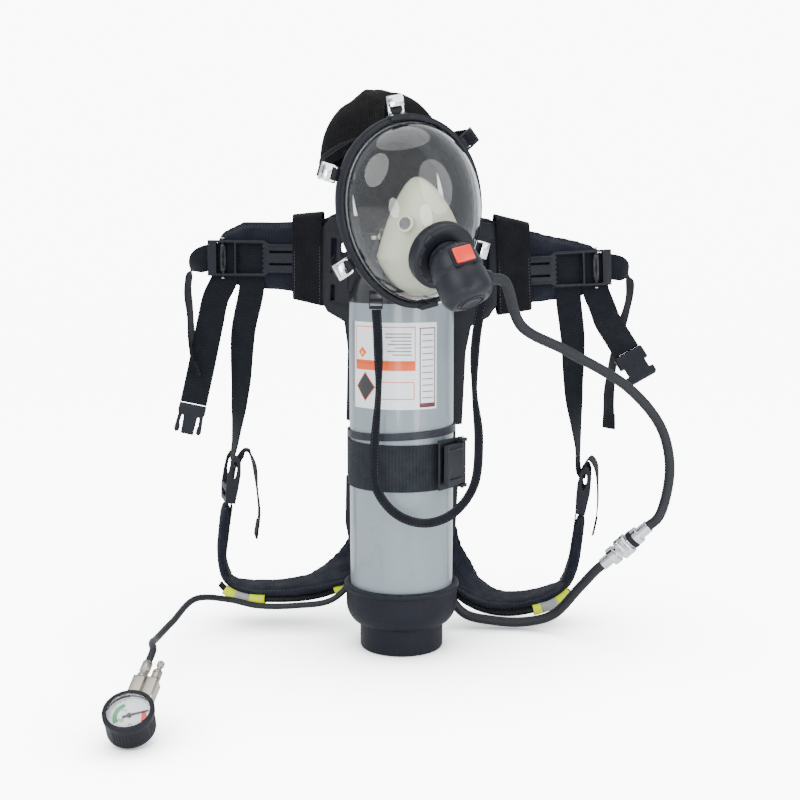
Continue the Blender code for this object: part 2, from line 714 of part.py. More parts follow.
def make_shoulder_adjuster(side):
    name = BELT[side]["name"]
    pose = adjuster_pose(side)
    shape = [
        (-0.0080, -0.034), (0.0060, -0.034), (0.0080, -0.012), (0.0090, 0.010), (0.0070, 0.028),
        (0.0020, 0.036),
    ]
    shape += [(-0.0030, 0.036), (-0.0070, 0.028), (-0.0090, 0.010), (-0.0100, -0.012)]
    body = outline(
        f"shoulder_adjuster_{name}", [shape, ellipse(-0.0005, 0.014, 0.0034, 0.0130, 14)], 0.0490,
        "plate_plastic", pose,
    )
    throat = box(f"throat_{name}", (0.06, 0.058, 0.0415), (0, 0.021, 0), None, pose)
    slot = box(f"slot_{name}", (0.06, 0.0090, 0.0415), (0, -0.0215, 0), None, pose)
    cut(body, throat, slot)


def pad_stations(side):
    spec = ADJUST[side]
    foot = adjuster_pose(side) @ Vector((0, -0.0362, 0))
    if side < 0:
        points = [
            tuple(foot + Vector((-0.002, 0, -0.0005))), (-0.2590, 0.107, 0.130),
            (-0.2625, 0.105, 0.090), (-0.2520, 0.103, 0.0620),
        ]
        points += [
            (-0.2260, 0.102, 0.0515), (-0.1800, 0.101, 0.0505), (-0.1400, 0.100, 0.0560),
            (-0.1050, 0.099, 0.0700),
        ]
        points += [(-0.0760, 0.0985, 0.0880), (-0.0540, 0.0960, 0.1150), (-0.0440, 0.0945, 0.1500)]
        across = [
            (0.2, -1, 0), (0.15, -1, 0), (0.12, -1, 0), (0.05, -1, 0.1), (0, -1, 0), (0, -1, -0.08),
            (0, -1, -0.25),
        ]
        across += [(0.3, -1, -0.6), (0.6, -0.5, -0.8), (0.8, -0.06, -0.6), (1, 0, -0.25)]
    else:
        points = [
            tuple(foot + Vector((0.001, 0, -0.0005))), (0.2560, 0.107, 0.120), (0.2500, 0.105, 0.085),
            (0.2380, 0.103, 0.0560),
        ]
        points += [
            (0.2150, 0.102, 0.0420), (0.1750, 0.101, 0.0320), (0.1400, 0.100, 0.0340),
            (0.1080, 0.099, 0.0500),
        ]
        points += [(0.0830, 0.0985, 0.0760), (0.0620, 0.0960, 0.1080), (0.0520, 0.0945, 0.1450)]
        across = [
            (-0.2, -1, 0), (-0.15, -1, 0), (-0.12, -1, 0), (-0.05, -1, 0.1), (0, -1, 0), (0, -1, -0.08),
            (0, -1, -0.25),
        ]
        across += [(-0.3, -1, -0.6), (-0.6, -0.5, -0.8), (-0.8, -0.06, -0.6), (-1, 0, -0.25)]
    return [(*p, *a) for p, a in zip(points, across)]


def make_shoulder_pad(side):
    name = BELT[side]["name"]
    ribbon(f"shoulder_pad_{name}", pad_stations(side), 30, STRAP_W, STRAP_T, "padding", corner=0.0035)


# ---------------------------------------------------------------- valve and reducer
VALVE_Z = 0.580
REDUCER_Y = 0.0560


def grip_loop(radius, depth, lobes):
    """Outline of a lobed hand grip."""
    points = []
    for a in np.linspace(0, 2 * pi, 4 * lobes, endpoint=False):
        r = radius * (1 + depth * cos(lobes * a))
        points.append((r * cos(a), r * sin(a)))
    return points


def make_valve():
    profile = [
        (0, 0.612), (0.009, 0.612), (0.0115, 0.609), (0.0115, 0.600), (0.0155, 0.598), (0.0155, 0.552),
    ]
    profile += [(0.0175, 0.551), (0.0175, CYL_NECK_Z + GAP), (0, CYL_NECK_Z + GAP)]
    body = lathe("cylinder_valve", profile, "nickel", steps=24)
    spindle = rod(
        "spindle_boss", 0.0110, 0, 0.0295, None, basis((0, 0, VALVE_Z), (0, 0, 1), (-1, 0, 0)), 20,
    )
    outlet = rod("outlet_boss", 0.0125, 0, 0.0225, None, basis((0, 0, VALVE_Z), (0, 0, 1), (0, 1, 0)), 20)
    join(body, spindle, outlet)
    wheel = basis((-0.0300, 0, VALVE_Z), (0, 0, 1), (-1, 0, 0))
    knob = outline("valve_handwheel", [grip_loop(0.0205, 0.045, 10)], 0.026, "rubber", wheel)
    for vert in knob.data.vertices:
        vert.co.z += 0.0130 + GAP


def make_reducer():
    axis = basis((0, REDUCER_Y, VALVE_Z), (0, 0, 1), (1, 0, 0))
    profile = [
        (0, 0.058), (0.0085, 0.058), (0.0095, 0.057), (0.0095, 0.046), (0.0185, 0.044), (0.0190, 0.042),
    ]
    profile += [(0.0190, -0.042), (0.0170, -0.046), (0.0125, -0.047), (0.0125, -0.054), (0, -0.054)]
    body = lathe("pressure_reducer", profile, "nickel", axis, 24)
    nose = rod(
        "nose", 0.0085, 0, REDUCER_Y - 0.0225 - GAP, None,
        basis((0, REDUCER_Y, VALVE_Z), (0, 0, 1), (0, -1, 0)), 20,
    )
    below = [basis((x, REDUCER_Y, VALVE_Z), (1, 0, 0), (0, 0, -1)) for x in (-0.036, 0.036)]
    ports = [rod(f"port_{i}", 0.0082, 0, 0.0272, None, pose, 16) for i, pose in enumerate(below)]
    join(body, nose, *ports)
    wheel = basis((0, 0.0300, VALVE_Z), (1, 0, 0), (0, 1, 0))
    loops = [grip_loop(0.0195, 0.05, 8), ellipse(0, 0, 0.0089, 0.0089, 20)]
    outline("reducer_handwheel", loops, 0.0120, "rubber", wheel)


# ---------------------------------------------------------------- hoses
COUPLING_A = Vector((0.2793, 0.0150, 0.1083))
COUPLING_B = Vector((0.3368, -0.0050, 0.1672))


def coupling_pose():
    return basis(COUPLING_A, (0, 1, 0), COUPLING_B - COUPLING_A)


def make_coupling():
    pose = coupling_pose()
    length = (COUPLING_B - COUPLING_A).length
    body = [
        (0, 0.0515), (0.0095, 0.0515), (0.0095, 0.0260), (0.0130, 0.0255), (0.0130, 0.0150),
        (0.0085, 0.0148),
    ]
    body += [(0.0085, 0.0), (0, 0)]
    lathe("coupling_socket", body, "chrome", pose, 20)
    start = 0.0310
    sleeve = [
        (0.0138, 0.0185), (0.0148, 0.0175), (0.0148, 0.0010), (0.0138, 0), (0.0098, 0),
        (0.0098, 0.0185),
    ]
    lathe("coupling_sleeve", sleeve, "chrome", pose @ Matrix.Translation((0, 0, start)), 24, closed=True)
    plug = [
        (0, length), (0.0085, length), (0.0085, 0.0680), (0.0120, 0.0675), (0.0120, 0.0590),
        (0.0095, 0.0585),
    ]
    plug += [(0.0095, 0.0518), (0, 0.0518)]
    lathe("coupling_plug", plug, "chrome", pose, 20)


DRUM_PORT = Vector((0, PORT_U, VISOR_H * sqrt(1 - (PORT_U / OVAL_B) ** 2)))
PORT_AXIS = Vector((0, -sin(PORT_TILT), cos(PORT_TILT)))
DRUM_AXIS = Vector((0, -0.83, 0.56)).normalized()
DRUM_C = DRUM_PORT + 0.0345 * PORT_AXIS + 0.010 * DRUM_AXIS
INLET_AXIS = Vector((0.93, -0.35, -0.10)).normalized()
INLET_END = 0.044


def make_hoses():
    inlet = MASK @ (DRUM_C + INLET_AXIS * (INLET_END + GAP))
    out = (MASK.to_3x3() @ INLET_AXIS) * 0.020
    axis = (COUPLING_B - COUPLING_A).normalized()
    upper = [
        tuple(inlet), tuple(inlet + out), (0.1480, -0.130, 0.4480), (0.2080, -0.100, 0.4150),
        (0.2960, -0.055, 0.3620),
    ]
    upper += [(0.3480, -0.020, 0.3020), (0.3620, -0.010, 0.2480), (0.3560, -0.006, 0.1960)]
    upper += [tuple(COUPLING_B + axis * 0.016), tuple(COUPLING_B + axis * GAP)]
    tube("breathing_hose_upper", upper, 22, MP_R, "hose")
    port_z = VALVE_Z - 0.0272 - GAP
    lower = [
        (0.036, REDUCER_Y, port_z), (0.036, REDUCER_Y, port_z - 0.012), (0.0480, 0.0630, 0.5000),
        (0.0570, 0.0668, 0.4500),
    ]
    lower += [
        (0.0580, 0.0668, 0.3500), (0.0580, 0.0668, 0.2000), (0.0590, 0.0672, 0.1100),
        (0.0660, 0.0690, 0.0550),
    ]
    lower += [
        (0.0900, 0.0670, 0.0220), (0.1300, 0.0640, 0.0125), (0.1750, 0.0610, 0.0110),
        (0.2150, 0.0500, 0.0250),
    ]
    lower += [(0.2480, 0.0320, 0.0680), tuple(COUPLING_A - axis * 0.014), tuple(COUPLING_A - axis * GAP)]
    tube("breathing_hose_lower", lower, 32, MP_R, "hose")
    stem = GAUGE @ Vector((-0.0065, 0.0855, 0.0150))
    back = (GAUGE.to_3x3() @ Vector((0, 1, 0))) * 0.018
    high = [
        (-0.036, REDUCER_Y, port_z), (-0.036, REDUCER_Y, port_z - 0.012), (-0.0480, 0.0630, 0.5000),
        (-0.0570, 0.0668, 0.4500),
    ]
    high += [
        (-0.0580, 0.0668, 0.3500), (-0.0580, 0.0668, 0.2000), (-0.0590, 0.0680, 0.1250),
        (-0.0680, 0.0690, 0.0750),
    ]
    high += [
        (-0.1000, 0.0660, 0.0420), (-0.1500, 0.0650, 0.0340), (-0.2050, 0.0640, 0.0340),
        (-0.2450, 0.0540, 0.0460),
    ]
    high += [(-0.2830, 0.0100, 0.0610), (-0.3010, -0.0800, 0.0560), (-0.3080, -0.1500, 0.0570)]
    high += [(-0.3000, -0.2150, 0.0730), tuple(stem + back), tuple(stem)]
    tube("gauge_hose", high, 44, HP_R, "hose")


# ---------------------------------------------------------------- gauge
def gauge_matrix():
    face = Vector((0, -sin(GAUGE_TIP), cos(GAUGE_TIP)))
    turn = Matrix.Rotation(GAUGE_TURN, 4, "Z")
    return basis(GAUGE_B, (1, 0, 0), face) @ turn


GAUGE = gauge_matrix()
NEEDLE_Z = 0.0248


def make_gauge():
    profile = [
        (0, 0.0226), (0.0240, 0.0226), (0.0240, GAUGE_H), (0.0278, GAUGE_H), (GAUGE_R, 0.0325),
        (GAUGE_R, 0.0260),
    ]
    profile += [(0.0276, 0.0250), (0.0276, 0.0030), (0.0265, 0.0), (0, 0)]
    lathe("gauge_cover", profile, "rubber", GAUGE, 32)
    rod("gauge_dial", 0.0236, 0.0229, 0.0239, "dial_white", GAUGE, 28)
    pivot = GAUGE @ Matrix.Translation((0, 0, NEEDLE_Z)) @ Matrix.Rotation(radians(28), 4, "Z")
    needle = rod("gauge_needle", 0.0024, -0.0006, 0.0010, "steel", pivot, 16)
    shape = [(-0.0070, -0.0012), (0.0, -0.0010), (0.0190, -0.0003), (0.0190, 0.0003), (0.0, 0.0010)]
    blade = outline("needle_blade", [shape + [(-0.0070, 0.0012)]], 0.0006, None, pivot)
    join(needle, blade)
    rod("gauge_lens", 0.0236, 0.0300, 0.0318, "clear", GAUGE, 28)
    block = box(
        "gauge_manifold", (0.0300, 0.0300, 0.0190), (0.0010, 0.0440, 0.0150), "nickel", GAUGE, 0.0015,
    )
    groove = box("manifold_groove", (0.0016, 0.0400, 0.0040), (0.0015, 0.0440, 0.0245), None, GAUGE)
    cut(block, groove)
    stem = GAUGE @ basis((-0.0065, 0.0592 + GAP, 0.0150), (1, 0, 0), (0, 1, 0))
    profile = [
        (0, 0.0258), (0.0060, 0.0258), (0.0062, 0.0120), (0.0044, 0.0110), (0.0044, 0.0070),
        (0.0066, 0.0062), (0.0066, 0), (0, 0),
    ]
    lathe("gauge_hose_fitting", profile, "nickel", stem, 16)
    tail = GAUGE @ basis((0.0090, 0.0592 + GAP, 0.0150), (1, 0, 0), (0, 1, 0))
    profile = [
        (0, 0.0290), (0.0034, 0.0290), (0.0044, 0.0275), (0.0044, 0.0225), (0.0030, 0.0215),
        (0.0030, 0.0150),
    ]
    profile += [(0.0058, 0.0140), (0.0058, 0), (0, 0)]
    lathe("whistle", profile, "nickel", tail, 16)


# ---------------------------------------------------------------- face mask
def oval(scale, grow, t):
    x = (OVAL_A * scale + grow) * cos(t) * (1 + OVAL_K * sin(t))
    return x, (OVAL_B * scale + grow) * sin(t)


def oval_shell(name, rings, count, mat, centre=(0.0, 0.0), shape=(1.0, 1.0), closed=False):
    """Loft of oval rings (scale, grow, height); a scale of 0 closes on the axis."""
    bm = bmesh.new()
    made = []
    for scale, grow, h in rings:
        if scale == 0:
            made.append([bm.verts.new((centre[0], centre[1], h))])
            continue
        row = []
        for i in range(count):
            x, y = oval(scale, grow, 2 * pi * i / count)
            row.append(bm.verts.new((centre[0] + x * shape[0], centre[1] + y * shape[1], h)))
        made.append(row)
    pairs = list(zip(made, made[1:]))
    if closed:
        pairs.append((made[-1], made[0]))
    for first, second in pairs:
        for i in range(count):
            j = (i + 1) % count
            corners = [
                first[i % len(first)], first[j % len(first)], second[j % len(second)],
                second[i % len(second)],
            ]
            bm.faces.new([c for k, c in enumerate(corners) if c not in corners[:k]])
    bmesh.ops.recalc_face_normals(bm, faces=bm.faces)
    mesh = bpy.data.meshes.new(name)
    bm.to_mesh(mesh)
    bm.free()
    return link(name, mesh, mat, MASK)


def dome_rings(height, wall, count):
    angles = np.linspace(pi / 2, 0, count)
    outer = [(sin(a), 0.0, height * cos(a)) for a in angles[:-1]] + [(0, 0, height)]
    inner = [(sin(a), -wall * sin(a), (height - wall) * cos(a)) for a in angles[:-1]]
    inner.append((0, 0, height - wall))
    return outer + inner


def dome(name, height, wall, count, rings, mat, **kw):
    """Open oval dome with a wall: outside from rim to crown, inside from crown to rim."""
    rows = dome_rings(height, wall, rings)
    bm = bmesh.new()
    made = []
    centre, shape = kw.get("centre", (0, 0)), kw.get("shape", (1, 1))
    lift = kw.get("lift", 0.0)
    for scale, grow, h in rows:
        row = []
        for i in range(count if scale else 1):
            x, y = oval(scale, grow, 2 * pi * i / count) if scale else (0.0, 0.0)
            row.append(bm.verts.new((centre[0] + x * shape[0], centre[1] + y * shape[1], h + lift)))
        made.append(row)
    outer, inner = made[: len(made) // 2], made[len(made) // 2 :]
    for first, second in list(zip(outer, outer[1:])) + list(zip(inner, inner[1:])) + [(inner[0], outer[0])]:
        for i in range(count):
            j = (i + 1) % count
            corners = [
                first[i % len(first)], first[j % len(first)], second[j % len(second)],
                second[i % len(second)],
            ]
            bm.faces.new([c for k, c in enumerate(corners) if c not in corners[:k]])
    bmesh.ops.recalc_face_normals(bm, faces=bm.faces)
    mesh = bpy.data.meshes.new(name)
    bm.to_mesh(mesh)
    bm.free()
    return link(name, mesh, mat, kw.get("matrix", MASK))


def port_pose(offset=0.0):
    return MASK @ basis(DRUM_PORT + PORT_AXIS * offset, (1, 0, 0), PORT_AXIS)


def make_mask():
    visor = dome("mask_visor", VISOR_H, VISOR_T, 28, 7, "clear")
    cut(visor, rod("visor_port", PORT_R + 0.0006, -0.03, 0.03, None, port_pose(), 32))
    rim = [
        (1, 0.0010, 0.006), (1, 0.0065, 0.006), (1, 0.0075, 0.003), (1, 0.0075, -0.006),
        (1, 0.0010, -0.006),
    ]
    oval_shell("mask_rim", rim, 32, "rubber", closed=True)
    seal = [
        (1, -0.0005, -GAP), (1, -0.0005, -0.0064), (1, 0.0060, -0.0070), (1, 0.0050, -0.014),
        (1, -0.0080, -0.032),
    ]
    seal += [
        (1, -0.0260, -0.036), (1, -0.0262, -0.034), (1, -0.0105, -0.0295), (1, -0.0030, -0.012),
        (1, -0.0045, -GAP),
    ]
    oval_shell("face_seal", seal, 26, "rubber", closed=True)
    cup = dome(
        "nose_cup", 0.050, 0.0020, 20, 5, "cream", centre=(0, -0.030), shape=(0.62, 0.66), lift=0.002,
    )
    cut(cup, rod("cup_port", 0.0262, -0.05, 0.03, None, port_pose(), 24))
    valve = MASK @ basis((-0.0300, -0.0020, 0.0420), (0, 1, 0), (-0.66, 0.42, 0.62))
    cut(cup, rod("cup_valve_hole", 0.0076, -0.02, 0.02, None, valve, 16))
    check = [(0, 0.0008), (0.0072, 0.0008), (0.0072, -0.0040), (0, -0.0040)]
    lathe("check_valve", check, "rubber", valve, 16)
    housing = [(0.0380, 0.0088), (PORT_R, 0.0060), (PORT_R, -0.0080), (0.0395, -0.0100), (0.0255, -0.0100)]
    housing += [(0.0250, -0.0160), (NECK_R + GAP, -0.0160), (NECK_R + GAP, 0.0088)]
    lathe("speech_housing", housing, "rubber", port_pose(), 28, closed=True)


def make_demand_valve():
    pose = MASK @ basis(DRUM_C, (1, 0, 0), DRUM_AXIS)
    half = DRUM_L / 2
    profile = [
        (0, half - 0.0030), (0.0134, half - 0.0030), (0.0134, half), (0.0205, half),
        (0.0280, half - 0.0040),
    ]
    profile += [
        (DRUM_R, half - 0.0120), (DRUM_R, -0.0060), (0.0290, -half + 0.0120), (0.0200, -half + 0.0030),
        (0.0120, -half), (0, -half),
    ]
    body = lathe("demand_valve", profile, "rubber", pose, 24)
    cut(body, rod("housing_room", PORT_R + 0.004, -0.0300, 0.0095, None, port_pose(), 24))
    neck = rod("valve_neck", NECK_R, -0.0150, 0.0300, None, port_pose(), 24)
    inlet = rod(
        "valve_inlet", 0.0105, 0.0, INLET_END, None, MASK @ basis(DRUM_C, (0, 1, 0), INLET_AXIS), 16,
    )
    join(body, neck, inlet)
    out = Vector((0.0, 0.56, 0.83)).normalized()
    seat = DRUM_C - DRUM_AXIS * 0.0120 + out * (DRUM_R - 0.0050)
    place = MASK @ basis(seat, (1, 0, 0), out)
    pocket = box("button_pocket", (0.0246, 0.0196, 0.0300), (0, 0, 0.0150), None, place)
    cut(body, pocket)
    box("release_button", (0.0240, 0.0190, 0.0048), (0, 0, 0.0054), "red", place, 0.0010)
    cap = MASK @ basis(DRUM_C + DRUM_AXIS * (half - 0.0030), (1, 0, 0), DRUM_AXIS)
    return cut(body, rod("purge_pocket", 0.0134, -0.0028, 0.01, None, cap, 24)), cap


def make_purge(cap):
    profile = [(0, 0.0042), (0.0120, 0.0042), (0.0130, 0.0032), (0.0130, 0.0), (0, 0.0)]
    lathe("purge_button", profile, "rubber", cap, 24)


BUCKLES = {"top": 88.0, "temple_left": 147.0, "temple_right": 34.0, "chin_left": 202.0, "chin_right": -32.0}
BUCKLE_OUT = 0.0190


def buckle_spot(degrees):
    """Mask-frame centre of a strap buckle outside the rim, and its outward direction."""
    t = radians(degrees)
    x, y = oval(1, 0, t)
    away = Vector((cos(t) / OVAL_A, sin(t) / OVAL_B, 0.0)).normalized()
    return Vector((x, y, -0.0075)) + away * BUCKLE_OUT, away


def make_mask_buckles():
    for name, degrees in BUCKLES.items():
        spot, away = buckle_spot(degrees)
        pose = MASK @ basis(spot, away, (0, 0, 1))
        loops = [rect(-0.0100, -0.0105, 0.0125, 0.0105), rect(-0.0065, -0.0080, 0.0025, 0.0080)]
        outline(f"mask_buckle_{name}", loops, 0.0026, "chrome", pose)


def make_head_net():
    out = Vector((-0.15, 0.30, 0.94)).normalized()
    pose = basis((-0.0230, -0.0300, 0.6540), (1, 0, 0.15), out)
    dome("head_net", 0.098, 0.0016, 26, 6, "net", shape=(0.93, 0.60), matrix=pose)


def make_neck_strap():
    rows = [
        (-0.0315, -0.1055, 0.4670, 1, 0, 0), (-0.0300, -0.0880, 0.4300, 1, 0, 0),
        (-0.0295, -0.0830, 0.3650, 0.6, 0.8, 0),
    ]
    rows += [
        (-0.0350, -0.0820, 0.2800, 1, 0.3, 0), (-0.0320, -0.0860, 0.2350, 1, 0.3, 0.6),
        (-0.0060, -0.0930, 0.2030, 0.4, 0.4, 1),
    ]
    rows += [
        (0.0300, -0.0990, 0.1930, 0, 0.5, 1), (0.0650, -0.0990, 0.2050, -0.4, 0.5, 1),
        (0.0920, -0.0960, 0.2400, -1, 0.4, 0.6),
    ]
    rows += [
        (0.0985, -0.0940, 0.3000, -1, 0.2, 0), (0.0925, -0.0940, 0.3650, -0.5, 0.9, 0),
        (0.0930, -0.0960, 0.4200, -1, 0.2, 0),
    ]
    rows += [(0.1000, -0.0920, 0.4700, -1, 0, 0), (0.1080, -0.0870, 0.5100, -1, 0, 0)]
    ribbon("neck_strap", rows, 40, 0.0140, 0.0016, "webbing")
    loops = [
        rect(-0.0085, 0.0, 0.0085, 0.0230), rect(-0.0072, 0.0040, 0.0072, 0.0090),
        rect(-0.0072, 0.0130, 0.0072, 0.0185),
    ]
    pose = basis((-0.0320, -0.1090, 0.4680), (1, 0, 0), (0, -1, 0.15))
    outline("neck_strap_lock", loops, 0.0030, "plate_plastic", pose)


def main():
    make_cylinder()
    make_boot()
    make_bands()
    make_cam_buckle()
    make_backplate()
    for side in (-1, 1):
        make_waist_pad(side)
        make_belt_wrap(side)
        make_belt_adjuster(side)
        make_belt_webbing(side)
        make_shoulder_webbing(side)
        make_shoulder_adjuster(side)
        make_shoulder_pad(side)
    make_side_release()
    make_valve()
    make_reducer()
    make_coupling()
    make_hoses()
    make_gauge()
    make_mask()
    _, cap = make_demand_valve()
    make_purge(cap)
    make_mask_buckles()
    make_head_net()
    make_neck_strap()


main()
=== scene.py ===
# %% [markdown]
# # A breathing apparatus, piece by piece
# This notebook dresses a measured engineering model of a self-contained breathing apparatus.
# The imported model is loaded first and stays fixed: it says where every piece is. Everything made
# here is laid over it in the same metres, rides on the same bodies, and takes its place.

import json
from math import atan2, cos, hypot, pi, radians, sin, sqrt

import bmesh
import bpy
import numpy as np
from mathutils import Matrix, Vector

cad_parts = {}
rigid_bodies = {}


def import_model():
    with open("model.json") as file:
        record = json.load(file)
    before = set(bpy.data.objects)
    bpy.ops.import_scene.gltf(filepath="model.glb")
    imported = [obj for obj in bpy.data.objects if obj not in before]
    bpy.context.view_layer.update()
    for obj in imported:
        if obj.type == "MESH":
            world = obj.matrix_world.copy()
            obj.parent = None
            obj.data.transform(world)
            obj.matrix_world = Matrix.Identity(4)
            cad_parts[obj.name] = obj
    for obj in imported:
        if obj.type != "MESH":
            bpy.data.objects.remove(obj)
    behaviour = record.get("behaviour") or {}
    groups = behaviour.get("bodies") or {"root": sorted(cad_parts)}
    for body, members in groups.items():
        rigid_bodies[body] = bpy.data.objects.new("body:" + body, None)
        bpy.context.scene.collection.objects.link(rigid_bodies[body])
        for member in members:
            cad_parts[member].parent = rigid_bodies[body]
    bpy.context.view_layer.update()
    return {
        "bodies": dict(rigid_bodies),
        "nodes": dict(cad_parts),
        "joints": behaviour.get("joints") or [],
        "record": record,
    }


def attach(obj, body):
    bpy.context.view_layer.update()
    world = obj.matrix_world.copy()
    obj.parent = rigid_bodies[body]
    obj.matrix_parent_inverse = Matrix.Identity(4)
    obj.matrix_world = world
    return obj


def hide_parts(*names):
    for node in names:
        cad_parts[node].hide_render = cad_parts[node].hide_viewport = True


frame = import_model()
NODES = frame["nodes"]
SCENE = bpy.context.scene

# %% [markdown]
# ## Camera, floor and light
# The set stands on a pale round floor inside a pale round backdrop, lit from large soft sources. A
# long lens a little above the middle of the set keeps its verticals nearly parallel. Both sheets are
# spun about the set's own axis, so the ground looks the same from every side.

# %% Camera
lens_data = bpy.data.cameras.new("camera")
lens_data.lens = 55.26
lens_data.sensor_width = 36.0
camera = bpy.data.objects.new("camera", lens_data)
camera.location = (-0.002, -1.641, 0.5555)
camera.rotation_euler = (radians(90 - 7.5), 0, 0)
SCENE.collection.objects.link(camera)
SCENE.camera = camera


# %% Floor and backdrop
def plain_finish(name, colour, rough):
    """A material with plain values on its shader, and the tree and shader to add to."""
    material = bpy.data.materials.new(name)
    material.use_nodes = True
    shader = material.node_tree.nodes["Principled BSDF"]
    shader.inputs["Base Color"].default_value = (*colour, 1)
    shader.inputs["Roughness"].default_value = rough
    return material, material.node_tree, shader


def make_stage(name, profile, steps=96):
    """A round sheet, spun about the set's axis from (radius, height) points, that glows to the camera, with a
    painted contact shadow where the set stands near it.
    """
    bm = bmesh.new()
    points = [bm.verts.new((r, 0, z)) for r, z in profile]
    edges = [bm.edges.new(pair) for pair in zip(points, points[1:])]
    bmesh.ops.spin(
        bm, geom=points + edges, cent=(0, 0, 0), axis=(0, 0, 1), dvec=(0, 0, 0),
        angle=2 * pi, steps=steps, use_merge=True, use_duplicate=False,
    )
    bmesh.ops.remove_doubles(bm, verts=bm.verts, dist=1e-5)
    bmesh.ops.recalc_face_normals(bm, faces=bm.faces)
    mesh = bpy.data.meshes.new(name)
    bm.to_mesh(mesh)
    bm.free()
    mesh.shade_smooth()
    sheet = bpy.data.objects.new(name, mesh)
    SCENE.collection.objects.link(sheet)
    material, tree, shader = plain_finish(name, (0.93, 0.94, 0.95), 0.6)
    shader.inputs["Emission Color"].default_value = (0.975, 0.985, 1.0, 1)
    seen = tree.nodes.new("ShaderNodeLightPath").outputs["Is Camera Ray"]
    bright = tree.nodes.new("ShaderNodeMapRange")
    bright.inputs["To Min"].default_value, bright.inputs["To Max"].default_value = 0.25, 9.0
    tree.links.new(seen, bright.inputs["Value"])
    # Painted contact shadow: the glow is multiplied by ambient occlusion, so the sheet darkens where the set
    # comes near it.
    near = tree.nodes.new("ShaderNodeAmbientOcclusion")
    near.inputs["Distance"].default_value = 0.30
    soft, glow = tree.nodes.new("ShaderNodeMath"), tree.nodes.new("ShaderNodeMath")
    soft.operation, glow.operation = "POWER", "MULTIPLY"
    soft.inputs[1].default_value = 2.5
    tree.links.new(near.outputs["AO"], soft.inputs[0])
    tree.links.new(soft.outputs[0], glow.inputs[0])
    tree.links.new(bright.outputs[0], glow.inputs[1])
    tree.links.new(glow.outputs[0], shader.inputs["Emission Strength"])
    mesh.materials.append(material)
    return sheet


floor = make_stage("pale_floor", [(0, -0.0006), (0.8, -0.0006), (2.0, -0.0006), (4.2, -0.0006)])
backdrop = make_stage("pale_backdrop", [(4.0, -0.002), (4.8, 0.15), (5.4, 0.8), (5.6, 2.0), (5.6, 7.0)])
backdrop.visible_diffuse = backdrop.visible_glossy = backdrop.visible_shadow = False
print("floor:", floor.dimensions, "backdrop:", backdrop.dimensions)


# %% Soft studio light
def soft_light(name, place, target, size, watts, colour=(1, 1, 1), shape="RECTANGLE"):
    data = bpy.data.lights.new(name, "AREA")
    data.shape = shape
    data.size = size[0]
    data.size_y = size[1]
    data.energy = watts
    data.color = colour
    light = bpy.data.objects.new(name, data)
    light.location = place
    light.rotation_euler = (Vector(target) - Vector(place)).to_track_quat("-Z", "Y").to_euler()
    SCENE.collection.objects.link(light)
    return light


world = bpy.data.worlds.new("studio")
world.use_nodes = True
world.node_tree.nodes["Background"].inputs["Color"].default_value = (0.90, 0.95, 1.0, 1)
world.node_tree.nodes["Background"].inputs["Strength"].default_value = 1.0
SCENE.world = world
soft_light("key", (-2.0, -2.3, 2.5), (0, 0, 0.35), (2.8, 2.8), 72, shape="DISK")
soft_light("fill", (2.4, -1.9, 1.5), (0, 0, 0.35), (2.4, 2.8), 44, shape="ELLIPSE")
soft_light("top", (0, -0.1, 3.0), (0, 0, 0.3), (2.8, 2.8), 34, shape="DISK")
soft_light("left box", (-0.22, -1.78, 0.36), (0, -0.1, 0.55), (0.46, 0.60), 5, shape="ELLIPSE")
soft_light("right box", (0.95, -1.45, 0.30), (0, -0.1, 0.55), (0.46, 0.60), 5, shape="ELLIPSE")
for light in [o for o in bpy.data.objects if o.type == "LIGHT"]:
    light.visible_camera = False


# %% [markdown]
# ## Finishes
# Real surfaces are never one flat value. Woven straps have threads, mouldings have a fine grain
# and rub bright along their edges, and everything gathers a little dust. Each of these effects is
# a small node group with named inputs, built once and placed in every material that needs it.

# %% Helpers for node trees
def put(tree, kind, settings=None, **inputs):
    """Add a node, set its properties and connect or fill its inputs."""
    node = tree.nodes.new(kind)
    for key, value in (settings or {}).items():
        setattr(node, key, value)
    for key, value in inputs.items():
        numbered = key[0] == "i" and key[1:].isdigit()
        socket = node.inputs[int(key[1:])] if numbered else node.inputs[key.replace("_", " ")]
        if isinstance(value, bpy.types.NodeSocket):
            tree.links.new(value, socket)
        else:
            socket.default_value = value
    return node


def blend_colour(tree, factor, first, second):
    node = put(tree, "ShaderNodeMix", {"data_type": "RGBA"}, i0=factor, i6=first, i7=second)
    return node.outputs[2]


def sums(tree, operation, *values):
    node = tree.nodes.new("ShaderNodeMath")
    node.operation = operation
    for socket, value in zip(node.inputs, values):
        if isinstance(value, bpy.types.NodeSocket):
            tree.links.new(value, socket)
        else:
            socket.default_value = value
    return node.outputs[0]


def new_group(name, inputs, outputs):
    """A node group with these inputs (label, type, default) and outputs (label, type)."""
    group = bpy.data.node_groups.new(name, "ShaderNodeTree")
    for label, kind, default in inputs:
        socket = group.interface.new_socket(label, in_out="INPUT", socket_type=kind)
        if default is not None:
            socket.default_value = default
    for label, kind in outputs:
        group.interface.new_socket(label, in_out="OUTPUT", socket_type=kind)
    return group, group.nodes.new("NodeGroupInput").outputs, group.nodes.new("NodeGroupOutput").inputs


FLOAT, VECTOR = "NodeSocketFloat", "NodeSocketVector"


